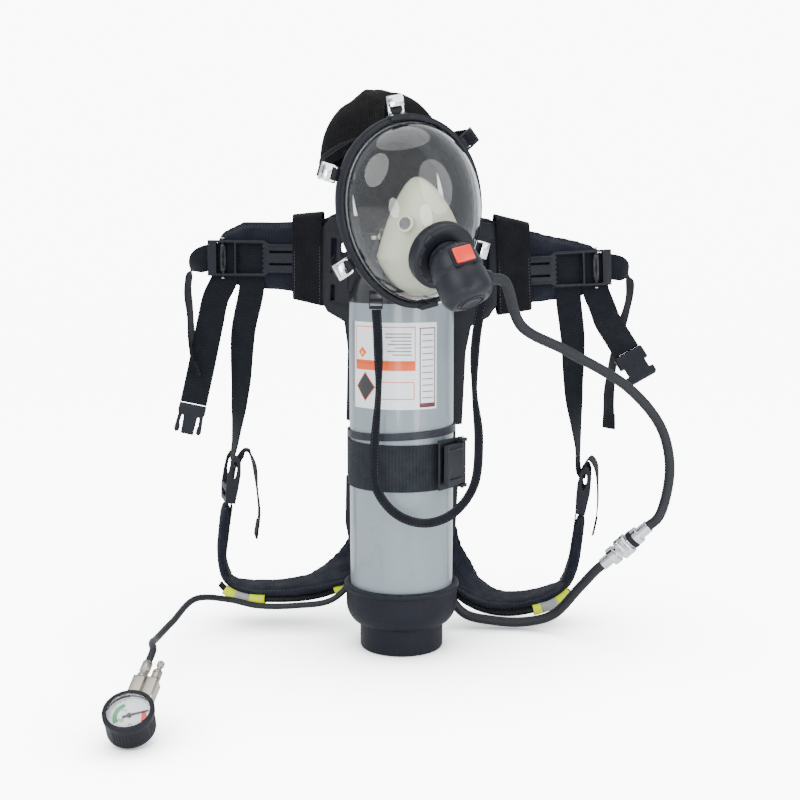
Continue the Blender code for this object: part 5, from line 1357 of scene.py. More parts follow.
def pad_stations(side):
    foot = adjuster_pose(side) @ Vector((0, -0.0362, 0))
    if side < 0:
        points = [tuple(foot + Vector((-0.002, 0, -0.0005))), (-0.2590, 0.107, 0.130),
            (-0.2625, 0.105, 0.090), (-0.2520, 0.103, 0.0620)]
        points += [(-0.2260, 0.102, 0.0515), (-0.1800, 0.101, 0.0505), (-0.1400, 0.100, 0.0560),
            (-0.1050, 0.099, 0.0700)]
        points += [(-0.0760, 0.0985, 0.0880), (-0.0540, 0.0960, 0.1150), (-0.0440, 0.0945, 0.1500)]
        across = [(0.2, -1, 0), (0.15, -1, 0), (0.12, -1, 0), (0.05, -1, 0.1), (0, -1, 0), (0, -1, -0.08),
            (0, -1, -0.25)]
        across += [(0.3, -1, -0.6), (0.6, -0.5, -0.8), (0.8, -0.06, -0.6), (1, 0, -0.25)]
    else:
        points = [tuple(foot + Vector((0.001, 0, -0.0005))), (0.2560, 0.107, 0.120), (0.2500, 0.105, 0.085),
            (0.2380, 0.103, 0.0560)]
        points += [(0.2150, 0.102, 0.0420), (0.1750, 0.101, 0.0320), (0.1400, 0.100, 0.0340),
            (0.1080, 0.099, 0.0500)]
        points += [(0.0830, 0.0985, 0.0760), (0.0620, 0.0960, 0.1080), (0.0520, 0.0945, 0.1450)]
        across = [(-0.2, -1, 0), (-0.15, -1, 0), (-0.12, -1, 0), (-0.05, -1, 0.1), (0, -1, 0),
            (0, -1, -0.08), (0, -1, -0.25)]
        across += [(-0.3, -1, -0.6), (-0.6, -0.5, -0.8), (-0.8, -0.06, -0.6), (-1, 0, -0.25)]
    return [(*p, *a) for p, a in zip(points, across)]


def make_shoulder_pad(side):
    name = BELT[side]["name"]
    route = Route(pad_stations(side), 160)
    pad = laid_strap(f"shoulder_pad_{name}_cushion", route, STRAP_W - 0.004, STRAP_T - 0.005, PAD_CLOTH,
        (f"shoulder_pad_{name}",), across=12, part=(0.003, 0.997), edge=0.3)
    baked(pad)
    blown_up(pad, 0.0035)

    def channel(points, normals):
        depth = np.zeros(len(points))
        for i in range(0, len(points), 2000):
            block_points = points[i:i + 2000]
            nearest = np.argmin(((block_points[:, None] - route.points[None]) ** 2).sum(2), axis=1)
            off = block_points - route.points[nearest]
            u = np.abs((off * route.across[nearest]).sum(1))
            facing = np.abs((normals[i:i + 2000] * route.off[nearest]).sum(1))
            depth[i:i + 2000] = 0.0017 * np.exp(-(((u - STRAP_W / 2 + 0.008) / 0.0024) ** 2)) * (facing > 0.5)
        return depth

    pressed(pad, channel)
    bpy.context.view_layer.update()
    spots = []
    for run in np.arange(0.006, route.run[-1] - 0.006, 0.0048):
        for u in (-STRAP_W / 2 + 0.008, STRAP_W / 2 - 0.008):
            for face in (-1, 1):
                start, inner = route.at(run, u, 0.02 * face), route.at(run, u, 0)
                hit, place, normal, _ = pad.ray_cast(start, inner - start)
                if hit:
                    spots.append((place + normal * 0.0001, route.at(run + 0.002, u, 0) - inner, normal))
    sewn(f"shoulder_pad_{name}_stitches", spots)
    return route


PAD_ROUTES = {side: make_shoulder_pad(side) for side in (-1, 1)}
print("pad lengths:", [round(route.run[-1], 3) for route in PAD_ROUTES.values()])


# %% Carrying tapes
for side in (-1, 1):
    name = BELT[side]["name"]
    route = PAD_ROUTES[side]
    face = -1 if route.at(0.02, 0, 1).x < route.at(0.02, 0, 0).x else 1
    face = face if side < 0 else -face
    outer = (STRAP_T / 2 - 0.0002) * face
    laid_strap(f"pad_tape_{name}", route, 0.030, 0.0016, TAPE, part=(0.004, 0.30), lift=outer, across=6)
    for u in (-0.0125, 0.0125):
        strap_seam(f"pad_tape_seam_{name}_{'a' if u < 0 else 'b'}", route, u, outer + 0.0010 * face, 0.0045,
            (0.006, 0.298))
print("tapes done")

# %% Hose sleeves and bright tabs
def saddle(name, route, low, high, down, finish):
    """A band sewn round the hose sleeve and the pad's lower front edge, between two places on the route."""
    bm = bmesh.new()
    uv = bm.loops.layers.uv.new("UVMap")
    bmesh.ops.create_grid(bm, x_segments=48, y_segments=6, size=1)
    for face in bm.faces:
        for corner in face.loops:
            corner[uv].uv = (corner.vert.co.x * 0.08, low + (corner.vert.co.y + 1) / 2 * (high - low))
    for vert in bm.verts:
        turn, run = pi * vert.co.x, low + (vert.co.y + 1) / 2 * (high - low)
        c, d = cos(turn), sin(turn)
        u = 0.0160 + 0.0155 * (abs(c) ** 0.6) * (1 if c > 0 else -1)
        lift = STRAP_T / 2 + 0.0030 + 0.0068 * (abs(d) ** 0.6) * (1 if d > 0 else -1)
        vert.co = route.at(run, u, lift * down)
    bmesh.ops.remove_doubles(bm, verts=bm.verts, dist=1e-6)
    bmesh.ops.recalc_face_normals(bm, faces=bm.faces)
    return walled(finished(name, bm, finish, angle=60), 0.0007, 1.0)


def walled(obj, thick, offset=-1.0):
    solid = obj.modifiers.new("wall", "SOLIDIFY")
    solid.thickness, solid.offset = thick, offset
    return obj


def run_near(route, x):
    """Where the lower stretch of a pad passes this x."""
    return float(route.run[np.argmin(np.abs(route.points[:, 0] - x) + (route.points[:, 2] > 0.10))])


TABS = {
    -1: [(-0.2490, -0.2370, "edge"), (-0.2370, -0.2180, "middle"), (-0.2180, -0.1960, "edge"),
    (-0.1044, -0.0945, "edge"), (-0.0945, -0.0800, "middle"), (-0.0800, -0.0668, "edge")],
    1: [(0.1870, 0.1990, "edge"), (0.1990, 0.2190, "middle"), (0.2190, 0.2370, "edge"),
    (0.0794, 0.0884, "edge")],
}
for side, tabs in TABS.items():
    name, route, down = BELT[side]["name"], PAD_ROUTES[side], -side
    laid_strap(f"hose_sleeve_{name}", route, 0.024, 0.0052, WEBBING, part=(0.30, 0.86),
        lift=down * (STRAP_T / 2 + 0.0036), offset=0.016, across=6)
    for index, (x0, x1, kind) in enumerate(tabs):
        low, high = sorted((run_near(route, x0), run_near(route, x1)))
        saddle(f"bright_tab_{name}_{index}", route, low, high, down, NEON if kind == "edge" else SILVER)
print("tabs:", sum(len(t) for t in TABS.values()))


# %% [markdown]
# ## Valve and pressure reducer
# The valve body, the reducer and their nuts are turned brass under dull nickel. The two hand grips
# are rubber-covered wheels: each starts as a turned disc, whose rim is then pushed in between its
# lobes.

# %% Valve, reducer and hand grips
def lobed(bm, lobes, depth, inner):
    for vert in bm.verts:
        r = hypot(vert.co.x, vert.co.y)
        if r > inner:
            a = atan2(vert.co.y, vert.co.x)
            keep = 1 + depth * cos(lobes * a) * (r - inner) / r
            vert.co.x, vert.co.y = vert.co.x * keep, vert.co.y * keep
    return bm


valve_profile = [(0, 0.612), (0.0080, 0.612), (0.0090, 0.6115), (0.0110, 0.6095), (0.0115, 0.6085),
    (0.0115, 0.6005), (0.0148, 0.5985), (0.0155, 0.5975)]
valve_profile += [(0.0155, 0.5535), (0.0160, 0.5515), (0.0172, 0.5508), (0.0175, 0.5500), (0.0175, 0.5468),
    (0, 0.5468)]
finished("valve_body", turned(valve_profile, 64), NICKEL, ("cylinder_valve",))
spindle = basis((0, 0, VALVE_Z), (0, 0, 1), (-1, 0, 0))
finished("valve_spindle_boss", softened(turned([(0, 0.0292), (0.0110, 0.0292), (0.0110, 0), (0, 0)], 48),
    0.0006), NICKEL, matrix=spindle)
outlet = basis((0, 0, VALVE_Z), (0, 0, 1), (0, 1, 0))
finished("valve_outlet", softened(turned([(0, 0.0222), (0.0125, 0.0222), (0.0125, 0), (0, 0)], 48), 0.0006),
    NICKEL, matrix=outlet)
grip_profile = [(0, 0.0262), (0.0120, 0.0262), (0.0150, 0.0254), (0.0190, 0.0240), (0.0204, 0.0220),
    (0.0205, 0.0060), (0.0198, 0.0020), (0.0185, 0.0004), (0, 0.0004)]
wheel_place = basis((-0.0300, 0, VALVE_Z), (0, 0, 1), (-1, 0, 0))
finished("valve_grip", lobed(turned(grip_profile, 120), 10, 0.30, 0.0170), RUBBER, ("valve_handwheel",),
    "valve_wheel", 45, wheel_place)
finished("valve_grip_cap", softened(turned([(0, 0.0268), (0.0085, 0.0268), (0.0085, 0.0240), (0, 0.0240)],
    40), 0.0003), STEEL, body="valve_wheel", matrix=wheel_place)
reducer_axis = basis((0, REDUCER_Y, VALVE_Z), (0, 0, 1), (1, 0, 0))
reducer_profile = [(0, 0.058), (0.0078, 0.058), (0.0090, 0.0574), (0.0095, 0.0568), (0.0095, 0.0464),
    (0.0180, 0.0442), (0.0188, 0.0432), (0.0190, 0.0420)]
reducer_profile += [(0.0190, 0.012), (0.0182, 0.0112), (0.0182, 0.0090), (0.0190, 0.0082),
    (0.0190, -0.0415), (0.0182, -0.0440), (0.0168, -0.0462)]
reducer_profile += [(0.0125, -0.0470), (0.0125, -0.0532), (0.0119, -0.0540), (0, -0.0540)]
finished("reducer_body", turned(reducer_profile, 72), NICKEL, ("pressure_reducer",), matrix=reducer_axis)
nose_axis = basis((0, REDUCER_Y, VALVE_Z), (0, 0, 1), (0, -1, 0))
finished("reducer_nose", softened(turned([(0, 0.0332), (0.0085, 0.0332), (0.0085, 0), (0, 0)], 40), 0.0005),
    NICKEL, matrix=nose_axis)
for side in (-1, 1):
    port = basis((side * 0.036, REDUCER_Y, VALVE_Z), (1, 0, 0), (0, 0, -1))
    profile = [(0, 0.0272), (0.0070, 0.0272), (0.0078, 0.0266), (0.0082, 0.0258), (0.0082, 0.0160),
        (0.0076, 0.0155), (0.0076, 0), (0, 0)]
    finished(f"reducer_port_{BELT[side]['name']}", turned(profile, 48), NICKEL, matrix=port)
ring_profile = [(0.0089, 0.0060), (0.0150, 0.0060), (0.0190, 0.0048), (0.0198, 0.0036), (0.0198, -0.0036),
    (0.0190, -0.0048), (0.0150, -0.0060), (0.0089, -0.0060)]
ring_place = basis((0, 0.0300, VALVE_Z), (1, 0, 0), (0, 1, 0))
finished("reducer_grip", lobed(turned(ring_profile, 120, True), 8, 0.30, 0.0165), RUBBER,
    ("reducer_handwheel",), "reducer_wheel", 45, ring_place)
print("valve and reducer done")


# %% [markdown]
# ## Pressure gauge
# The gauge is a brass movement in a ribbed rubber cover, on a nickel block that the thin hose and a
# warning whistle screw into. The dial is printed in plain figures. Its figures start as text
# curves, which are turned into meshes before they are laid on the dial.

# %% Gauge cover, block, fitting and whistle
cover = [(0, 0.0226), (0.0240, 0.0226), (0.0240, 0.0334), (0.0246, 0.0340), (0.0272, 0.0340),
    (0.0284, 0.0334), (0.0288, 0.0322), (0.0288, 0.0266)]
cover += [(0.0283, 0.0256), (0.0276, 0.0250)] + [(0.0276, z) for z in np.linspace(0.0225, 0.0055,
    8)] + [(0.0274, 0.0030), (0.0268, 0.0010), (0.0255, 0.0), (0, 0.0)]
gauge_cover = turned(cover, 144)
for vert in gauge_cover.verts:
    a = atan2(vert.co.y, vert.co.x)
    r = hypot(vert.co.x, vert.co.y)
    if r > 0.026 and 0.0045 < vert.co.z < 0.0235 and cos(4 * a) > 0.1:
        keep = 1 - 0.0009 / r * (0.5 - 0.5 * cos(a * 48))
        vert.co.x, vert.co.y = vert.co.x * keep, vert.co.y * keep
cover_piece = finished("gauge_rubber_cover", gauge_cover, RUBBER, ("gauge_cover",), angle=50, matrix=GAUGE)
bezel = [(0.0236, 0.0318), (0.0243, 0.0332), (0.0243, 0.0290), (0.0236, 0.0290)]
bezel_piece = finished("gauge_bezel", turned(bezel, 96, True), STEEL, matrix=GAUGE)
block_piece = carried("gauge_manifold", NICKEL, 0.0016, 4)
fitting_place = GAUGE @ basis((-0.0065, 0.0592 + GAP, 0.0150), (1, 0, 0), (0, 1, 0))
fitting = [(0, 0.0258), (0.0052, 0.0258), (0.0060, 0.0250), (0.0062, 0.0125), (0.0058, 0.0118),
    (0.0044, 0.0110), (0.0044, 0.0070), (0.0062, 0.0064), (0.0066, 0.0058), (0.0066, 0), (0, 0)]
fitting_piece = finished("gauge_hose_nut", ribbed(turned(fitting, 96), 0.0130, 0.0250, 24, 0.0005, 0.0058),
    NICKEL, ("gauge_hose_fitting",), angle=45, matrix=fitting_place)
whistle_place = GAUGE @ basis((0.0090, 0.0592 + GAP, 0.0150), (1, 0, 0), (0, 1, 0))
whistle = [(0, 0.0290), (0.0026, 0.0290), (0.0034, 0.0286), (0.0044, 0.0275)] + rows_of(0.0044, 0.0270,
    0.0230, 3) + [(0.0042, 0.0224), (0.0030, 0.0215), (0.0030, 0.0150)]
whistle += [(0.0052, 0.0144), (0.0058, 0.0136), (0.0058, 0.0100), (0.0050, 0.0096), (0.0050, 0.0080),
    (0.0058, 0.0076), (0.0058, 0), (0, 0)]
whistle_piece = finished("warning_whistle", ribbed(turned(whistle, 96), 0.0228, 0.0274, 20, 0.0005, 0.0040),
    NICKEL, ("whistle",), angle=45, matrix=whistle_place)
print("gauge body done")

# %% Dial, its marks and figures
DIAL_WHITE = hard_finish("dial white", (0.82, 0.84, 0.84), 0.45, rub=0.0, dust=0.0, tint=0.02)
DIAL_RED, DIAL_GREEN = film("dial red", (0.80, 0.03, 0.02)), film("dial green", (0.03, 0.30, 0.10))
FACE_Z = 0.0239
dial_piece = finished("gauge_dial_face", turned([(0, FACE_Z), (0.0236, FACE_Z), (0.0236, 0.0229), (0,
    0.0229)], 72), DIAL_WHITE, ("gauge_dial",), matrix=GAUGE)


def dial_patch(name, areas, finish, z):
    """Areas of a dial as (angle low, angle high, radius low, radius high), with 0 at local +X."""
    bm = bmesh.new()
    for a0, a1, r0, r1 in areas:
        cells = max(1, int(abs(a1 - a0) / 4))
        for vert in bmesh.ops.create_grid(bm, x_segments=cells, y_segments=1, size=0.5)["verts"]:
            a, r = radians(a0 + (vert.co.x + 0.5) * (a1 - a0)), r1 + (vert.co.y + 0.5) * (r0 - r1)
            vert.co = (r * cos(a), r * sin(a), z)
    bmesh.ops.recalc_face_normals(bm, faces=bm.faces)
    if sum(f.normal.z for f in bm.faces) < 0:
        bmesh.ops.reverse_faces(bm, faces=bm.faces)
    return finished(name, bm, finish, matrix=GAUGE)


START, SWEEP = 28.0, -270.0
marks = [(START + SWEEP * i / 35 - 0.7, START + SWEEP * i / 35 + 0.7, 0.0190 if i % 5 else 0.0172,
    0.0212) for i in range(36)]
dial_pieces = [
    dial_patch("dial_marks", marks, BLACK, FACE_Z + 0.00012),
    dial_patch("dial_red_sector", [(START, START + SWEEP * 0.16, 0.0118, 0.0165)], DIAL_RED,
    FACE_Z + 0.00008),
    dial_patch("dial_green_sector", [(START + SWEEP * 0.62, START + SWEEP * 0.98, 0.0118, 0.0165)],
    DIAL_GREEN, FACE_Z + 0.00008),
    dial_patch("dial_ring", [(0, 360, 0.0216, 0.0220)], BLACK, FACE_Z + 0.00010),
]


def figures(name, words):
    """Plain figures as one mesh: (text, angle, radius, height)."""
    bm = bmesh.new()
    for word, angle, radius, height in words:
        curve = bpy.data.curves.new("figure", "FONT")
        curve.body, curve.size, curve.align_x, curve.align_y = word, height, "CENTER", "CENTER"
        holder = bpy.data.objects.new("figure", curve)
        SCENE.collection.objects.link(holder)
        bpy.context.view_layer.update()
        flat = bpy.data.meshes.new_from_object(holder.evaluated_get(bpy.context.evaluated_depsgraph_get()))
        bpy.data.objects.remove(holder, do_unlink=True)
        a = radians(angle)
        flat.transform(Matrix.Translation((radius * cos(a), radius * sin(a),
            FACE_Z + 0.00014)) @ Matrix.Rotation(pi, 4, "Z"))
        bm.from_mesh(flat)
        bpy.data.meshes.remove(flat)
    return finished(name, bm, BLACK, matrix=GAUGE)


dial_pieces.append(figures("dial_figures", [(word, START + SWEEP * share, 0.0090, 0.0042) for word,
    share in (("0", 0.0), ("100", 0.33), ("200", 0.62), ("300", 0.92))]))
pivot = GAUGE @ Matrix.Translation((0, 0, 0.0248)) @ Matrix.Rotation(radians(START), 4, "Z")
blade = plate([(-0.0070, -0.0012), (0.0, -0.0011), (0.0190, -0.0004), (0.0190, 0.0004), (0.0, 0.0011),
    (-0.0070, 0.0012)], 0.0006, 0.0)
needle_piece = finished("needle_blade", blade, BLACK, ("gauge_needle",), "needle", matrix=pivot)
hub_piece = finished("needle_hub", softened(turned([(0, 0.0010), (0.0024, 0.0010), (0.0024, -0.0006), (0,
    -0.0006)], 32), 0.0003), BLACK, body="needle", matrix=pivot)
lens_piece = finished("gauge_glass", softened(turned([(0, 0.0318), (0.0235, 0.0318), (0.0235, 0.0302), (0,
    0.0302)], 72), 0.0003), LENS, ("gauge_lens",), matrix=GAUGE)


# %% [markdown]
# ## Face mask
# The mask's opening is an oval, wider at the brow. Rings and domes that follow it are spun as if it
# were a circle of radius one, and then each point is moved out to the oval, so that the rim, the
# seal, the visor and the nose cup all agree with each other.

# %% Shaping on the oval
def oval(scale, grow, t):
    return (OVAL_A * scale + grow) * cos(t) * (1 + OVAL_K * sin(t)), (OVAL_B * scale + grow) * sin(t)


def oval_ring(profile, steps=144, closed=True):
    """A ring of (grow, height) points carried round the oval."""
    bm = turned([(1 + grow, h) for grow, h in profile], steps, closed)
    for vert in bm.verts:
        t, grow = atan2(vert.co.y, vert.co.x), hypot(vert.co.x, vert.co.y) - 1
        vert.co.x, vert.co.y = oval(1, grow, t)
    return bm


def oval_dome(height, rings=40, steps=144, centre=(0, 0), shape=(1, 1), lift=0.0, start=0.0, grow=0.0):
    """An open dome on the oval, one skin thick."""
    angles = np.linspace(pi / 2 - start, 0, rings)
    bm = turned([(sin(a), height * cos(a)) for a in angles], steps)
    for vert in bm.verts:
        t, scale = atan2(vert.co.y, vert.co.x), hypot(vert.co.x, vert.co.y)
        x, y = oval(scale, grow * scale, t)
        vert.co.x, vert.co.y, vert.co.z = centre[0] + x * shape[0], centre[1] + y * shape[1], vert.co.z + lift
    return bm


PORT = basis(DRUM_PORT, (1, 0, 0), PORT_AXIS)


def port_opened(bm, radius, low=-0.05, high=0.05, place=None):
    """Deletes the faces inside a round port."""
    inverse = (place or PORT).inverted()
    inside = []
    for face in bm.faces:
        local = inverse @ face.calc_center_median()
        if low < local.z < high and hypot(local.x, local.y) < radius:
            inside.append(face)
    bmesh.ops.delete(bm, geom=inside, context="FACES")
    return bm


print("mask frame:", [round(c, 4) for c in MASK.translation])

# %% Visor, rim and seal
visor = finished("visor_shell", port_opened(oval_dome(VISOR_H), PORT_R - 0.003), VISOR, ("mask_visor",),
    angle=70, matrix=MASK)
walled(visor, 0.0022)
rim_profile = [(0.0008, 0.0062), (0.0022, 0.0074), (0.0040, 0.0076), (0.0056, 0.0066), (0.0060, 0.0046),
    (0.0064, 0.0036), (0.0076, 0.0034), (0.0086, 0.0022)]
rim_profile += [(0.0088, 0.0), (0.0086, -0.0030), (0.0078, -0.0052), (0.0062, -0.0064), (0.0008, -0.0064)]
finished("rubber_rim", oval_ring(rim_profile), RUBBER, ("mask_rim",), angle=60, matrix=MASK)
# The bead's opaque grey is a painted reflection of the visor's clear edge.
bead_profile = [(-0.0002, 0.0040), (-0.0006, 0.0072), (-0.0018, 0.0086), (-0.0032, 0.0078),
    (-0.0036, 0.0050), (-0.0030, 0.0030)]
finished("visor_bead", oval_ring(bead_profile), BEAD, angle=60, matrix=MASK)
seal_profile = [(-0.0005, -0.0003), (-0.0005, -0.0064), (0.0030, -0.0068), (0.0058, -0.0074),
    (0.0060, -0.0100), (0.0050, -0.0140), (0.0020, -0.0200), (-0.0030, -0.0265), (-0.0080, -0.0315)]
seal_profile += [(-0.0160, -0.0350), (-0.0255, -0.0360), (-0.0262, -0.0350), (-0.0255, -0.0342),
    (-0.0170, -0.0325), (-0.0105, -0.0290), (-0.0060, -0.0210), (-0.0034, -0.0120), (-0.0045, -0.0003)]
finished("face_seal_skirt", oval_ring(seal_profile), VALVE_RUBBER, ("face_seal",), angle=60, matrix=MASK)
print("visor, rim and seal done")

# %% Clamp joints of the rim
for name, angle in (("top", 90.0), ("bottom", 270.0)):
    t = radians(angle)
    x, y = oval(1, 0.0060, t)
    place = MASK @ basis((x, y, 0.0020), (0, 0, 1), (cos(t), sin(t), 0))
    finished(f"rim_joint_{name}", block((0.0150, 0.0240, 0.0072), (0, 0, 0), 0.0016, 3), RUBBER,
        matrix=place)
    for u in (-0.0070, 0.0070):
        finished(f"rim_screw_{name}_{'a' if u < 0 else 'b'}",
            softened(turned([(0, 0.0046), (0.0020, 0.0046), (0.0020, 0.0), (0, 0.0)], 20), 0.0003), STEEL,
            matrix=place @ Matrix.Translation((0, u, 0)))
print("rim joints done")

# %% Nose cup, its check valve and its ring
cup = oval_dome(0.050, 30, 96, (0, -0.030), (0.66, 0.66), 0.002)
for vert in cup.verts:
    climb = max(0.0, (vert.co.y + 0.040) / 0.083)
    vert.co.x = vert.co.x * (1 - 0.52 * climb ** 0.8) + 0.010 * climb
    vert.co.z = 0.002 + (vert.co.z - 0.002) * (1 + 0.10 * climb)
cup = port_opened(cup, 0.0240, -0.06, 0.03)
nose_cup = finished("silicone_nose_cup", cup, SILICONE, ("nose_cup",), angle=70, matrix=MASK)
walled(nose_cup, 0.0020)
CHECK = MASK @ basis((-0.0300, -0.0020, 0.0420), (0, 1, 0), (-0.66, 0.42, 0.62))
lip = [(0.0072, -0.0030), (0.0105, -0.0030), (0.0110, -0.0010), (0.0106, 0.0012), (0.0092, 0.0018),
    (0.0076, 0.0014)]
finished("check_valve_seat", turned(lip, 64, True), SILICONE, angle=60, matrix=CHECK)
petals = turned([(0, 0.0006)] + [(r, 0.0006 + 0.0003 * (r / 0.007)) for r in np.linspace(0.0010, 0.0072,
    6)] + [(0.0072, -0.0010), (0, -0.0010)], 72)
for vert in petals.verts:
    a = atan2(vert.co.y, vert.co.x)
    if vert.co.z > 0 and abs(cos(2.5 * a)) < 0.16 and hypot(vert.co.x, vert.co.y) > 0.0012:
        vert.co.z -= 0.0009
finished("check_valve_petals", petals, FLAP, ("check_valve",), angle=30, matrix=CHECK)
print("nose cup done")

# %% Port housing
house_profile = [(0.0250, 0.0088), (0.0372, 0.0088), (0.0386, 0.0082), (0.0404, 0.0070), (0.0412, 0.0056),
    (0.0412, -0.0064), (0.0404, -0.0086), (0.0395, -0.0100), (0.0255, -0.0100), (0.0250, -0.0160)]
house_profile += [(0.0228, -0.0160), (0.0228, 0.0060), (0.0236, 0.0088)]
finished("port_housing", turned(house_profile, 128, True), VALVE_RUBBER, ("speech_housing",), angle=40,
    matrix=MASK @ PORT)
for index, angle in enumerate((150, 172, 194, 216, 238, 330, 352, 14)):
    a = radians(angle)
    place = MASK @ PORT @ basis((0.0335 * cos(a), 0.0335 * sin(a), 0.0088), (-sin(a), cos(a), 0), (0, 0, 1))
    finished(f"housing_slot_{index}", block((0.0090, 0.0034, 0.0012), (0, 0, 0), 0.0005), BLACK,
        matrix=place)
a = radians(128)
tab_place = MASK @ PORT @ basis((0.0365 * cos(a), 0.0365 * sin(a), 0.0088), (-sin(a), cos(a), 0), (0, 0, 1))
finished("housing_tab", block((0.0110, 0.0090, 0.0044), (0, 0, 0.0010), 0.0010), VALVE_RUBBER,
    matrix=tab_place)
print("housing done")

# %% Demand valve
DRUM = MASK @ basis(DRUM_C, (1, 0, 0), DRUM_AXIS)
half = DRUM_L / 2
drum_profile = [(0, half - 0.0060), (0.0134, half - 0.0060), (0.0134, half - 0.0006), (0.0140, half),
    (0.0205, half), (0.0240, half - 0.0010), (0.0280, half - 0.0040), (0.0305, half - 0.0080)]
drum_profile += [(0.0314, half - 0.0120), (0.0312, 0.0040), (0.0300, 0.0018), (0.0300, 0.0),
    (0.0312, -0.0020), (0.0314, -0.0060), (0.0306, -0.0120), (0.0294, -0.0180), (0.0278, -half + 0.0120)]
drum_profile += [(0.0250, -half + 0.0070), (0.0200, -half + 0.0030), (0.0160, -half + 0.0008),
    (0.0120, -half), (0, -half)]
finished("demand_valve_body", turned(drum_profile, 128), VALVE_RUBBER, ("demand_valve",), angle=40,
    matrix=DRUM)
finished("demand_valve_neck", turned([(0, 0.030), (0.0225, 0.030), (0.0225, 0.0140), (0.0232, 0.0130),
    (0.0232, 0.0100), (0.0225, 0.0090), (0.0225, -0.0150), (0, -0.0150)], 96), VALVE_RUBBER,
    matrix=MASK @ PORT)
inlet_place = MASK @ basis(DRUM_C, (0, 1, 0), INLET_AXIS)
inlet_profile = [(0, INLET_END), (0.0090, INLET_END), (0.0102, INLET_END - 0.0008),
    (0.0105, INLET_END - 0.0016), (0.0105, 0.0350), (0.0096, 0.0344), (0.0096, 0.0330), (0.0105, 0.0324),
    (0.0105, 0.0), (0, 0.0)]
finished("demand_valve_inlet", turned(inlet_profile, 64), VALVE_RUBBER, matrix=inlet_place)
BUTTON_OUT = Vector((0.0, 0.56, 0.83)).normalized()
SEAT = MASK @ basis(DRUM_C - DRUM_AXIS * 0.0120 + BUTTON_OUT * (DRUM_R - 0.0050), (1, 0, 0), BUTTON_OUT)
frame_loop = softened(block((0.0300, 0.0250, 0.0060), (0, 0, 0.0020), 0.0022, 3), 0.0002)
finished("button_frame", frame_loop, SLATE, matrix=SEAT)
button = block((0.0240, 0.0190, 0.0048), (0, 0, 0.0054), 0.0016, 4)
for vert in button.verts:
    if vert.co.z > 0.006:
        vert.co.z += 0.0008 * (1 - (vert.co.x / 0.012) ** 2) * (1 - (vert.co.y / 0.0095) ** 2)
finished("red_release_button", button, ORANGE, ("release_button",), "release", matrix=SEAT)
print("demand valve done")

# %% Purge button
CAP = MASK @ basis(DRUM_C + DRUM_AXIS * (half - 0.0030), (1, 0, 0), DRUM_AXIS)
purge_profile = [(0, 0.0036), (0.0070, 0.0038), (0.0090, 0.0042), (0.0112, 0.0042), (0.0122, 0.0038),
    (0.0130, 0.0028), (0.0130, 0.0), (0, 0.0)]
finished("purge_cap", turned(purge_profile, 72), RUBBER, ("purge_button",), "purge", matrix=CAP)
ring_line = [(0.0150, 0.0034), (0.0158, 0.0040), (0.0172, 0.0040), (0.0180, 0.0034), (0.0180, 0.0028),
    (0.0150, 0.0028)]
finished("purge_ring", turned(ring_line, 96, True), SLATE, angle=60, matrix=CAP)
print("purge done")


# %% [markdown]
# ## Mask harness
# Five short straps run from plated buckles on the rim to a net over the back of the head. The net
# is an open cloth: a shaped dome of squares, turned into threads by a Wireframe modifier over a
# thin dark lining, and bound by a wide stitched hem. A cloth panel hangs from it behind the mask,
# because the real net also fills the space that shows through the upper part of the visor.

# %% Buckles on the rim and the straps through them
BUCKLES = {"top": 88.0, "temple_left": 147.0, "temple_right": 34.0, "chin_left": 202.0, "chin_right": -32.0}
NET_AXIS = Vector((-0.15, 0.30, 0.94)).normalized()
NET = basis((-0.0230, -0.0300, 0.6540), (1, 0, 0.15), NET_AXIS)


def buckle_place(degree):
    t = radians(degree)
    x, y = oval(1, 0, t)
    away = Vector((cos(t) / OVAL_A, sin(t) / OVAL_B, 0.0)).normalized()
    return MASK @ basis(Vector((x, y, -0.0075)) + away * 0.0190, away, (0, 0, 1))


def net_rim(t, lift=0.004):
    x, y = oval(1, 0, t)
    return NET @ Vector((x * 0.93, y * 0.60, lift))


for name, degree in BUCKLES.items():
    place = buckle_place(degree)
    metal = SLATE if name == "temple_right" else CHROME
    carried(f"mask_buckle_{name}", metal, 0.0005, 2, angle=40)
    if metal is CHROME:
        finished(f"mask_buckle_plate_{name}", block((0.0105, 0.0185, 0.0011), (0.0048, 0, 0.0050), 0.0004),
            CHROME, matrix=place)
    roller = bar(0.0190, 0.0016)
    finished(f"mask_buckle_roller_{name}", roller, metal,
        matrix=place @ basis((0.0040, 0, 0.0012), (1, 0, 0), (0, 1, 0)))
    lug = block((0.0160, 0.0150, 0.0030), (-0.0105, 0, 0.0), 0.0010)
    finished(f"rim_lug_{name}", lug, RUBBER, matrix=place)
    tip = place @ Vector((0.0050, 0, 0.0022))
    aim = min((net_rim(t) for t in np.linspace(0, 2 * pi, 72, endpoint=False)),
        key=lambda p: (p - tip).length)
    over = place.to_3x3()
    across_mask = over @ Vector((0, 1, 0))
    out, back_way = over @ Vector((1, 0, 0)), over @ Vector((0, 0, -1))
    start = place @ Vector((-0.0060, 0, -0.0022))
    stations = [(*start, *across_mask), (*(place @ Vector((0.0010, 0, 0.0024))), *across_mask),
        (*(place @ Vector((0.0090, 0, 0.0010))), *across_mask)]
    turn = place @ Vector((0.0110, 0, -0.0080))
    if "chin" in name:
        stations += [(*turn, *across_mask), (*(turn + back_way * 0.020 - out * 0.006), *across_mask),
            (*(turn + back_way * 0.038 - out * 0.020), *across_mask)]
    else:
        middle_point = (turn + aim) / 2 + back_way * 0.006
        stations += [(*turn, *across_mask), (*middle_point, *across_mask), (*aim, *across_mask)]
    route = Route(stations, 60)
    laid_strap(f"mask_strap_{name}", route, 0.0140, 0.0016, WEBBING, across=4)
    strap_seam(f"mask_strap_seam_{name}", route, 0.0050, 0.0009, 0.004, (0.5, 0.95))
print("mask straps done")

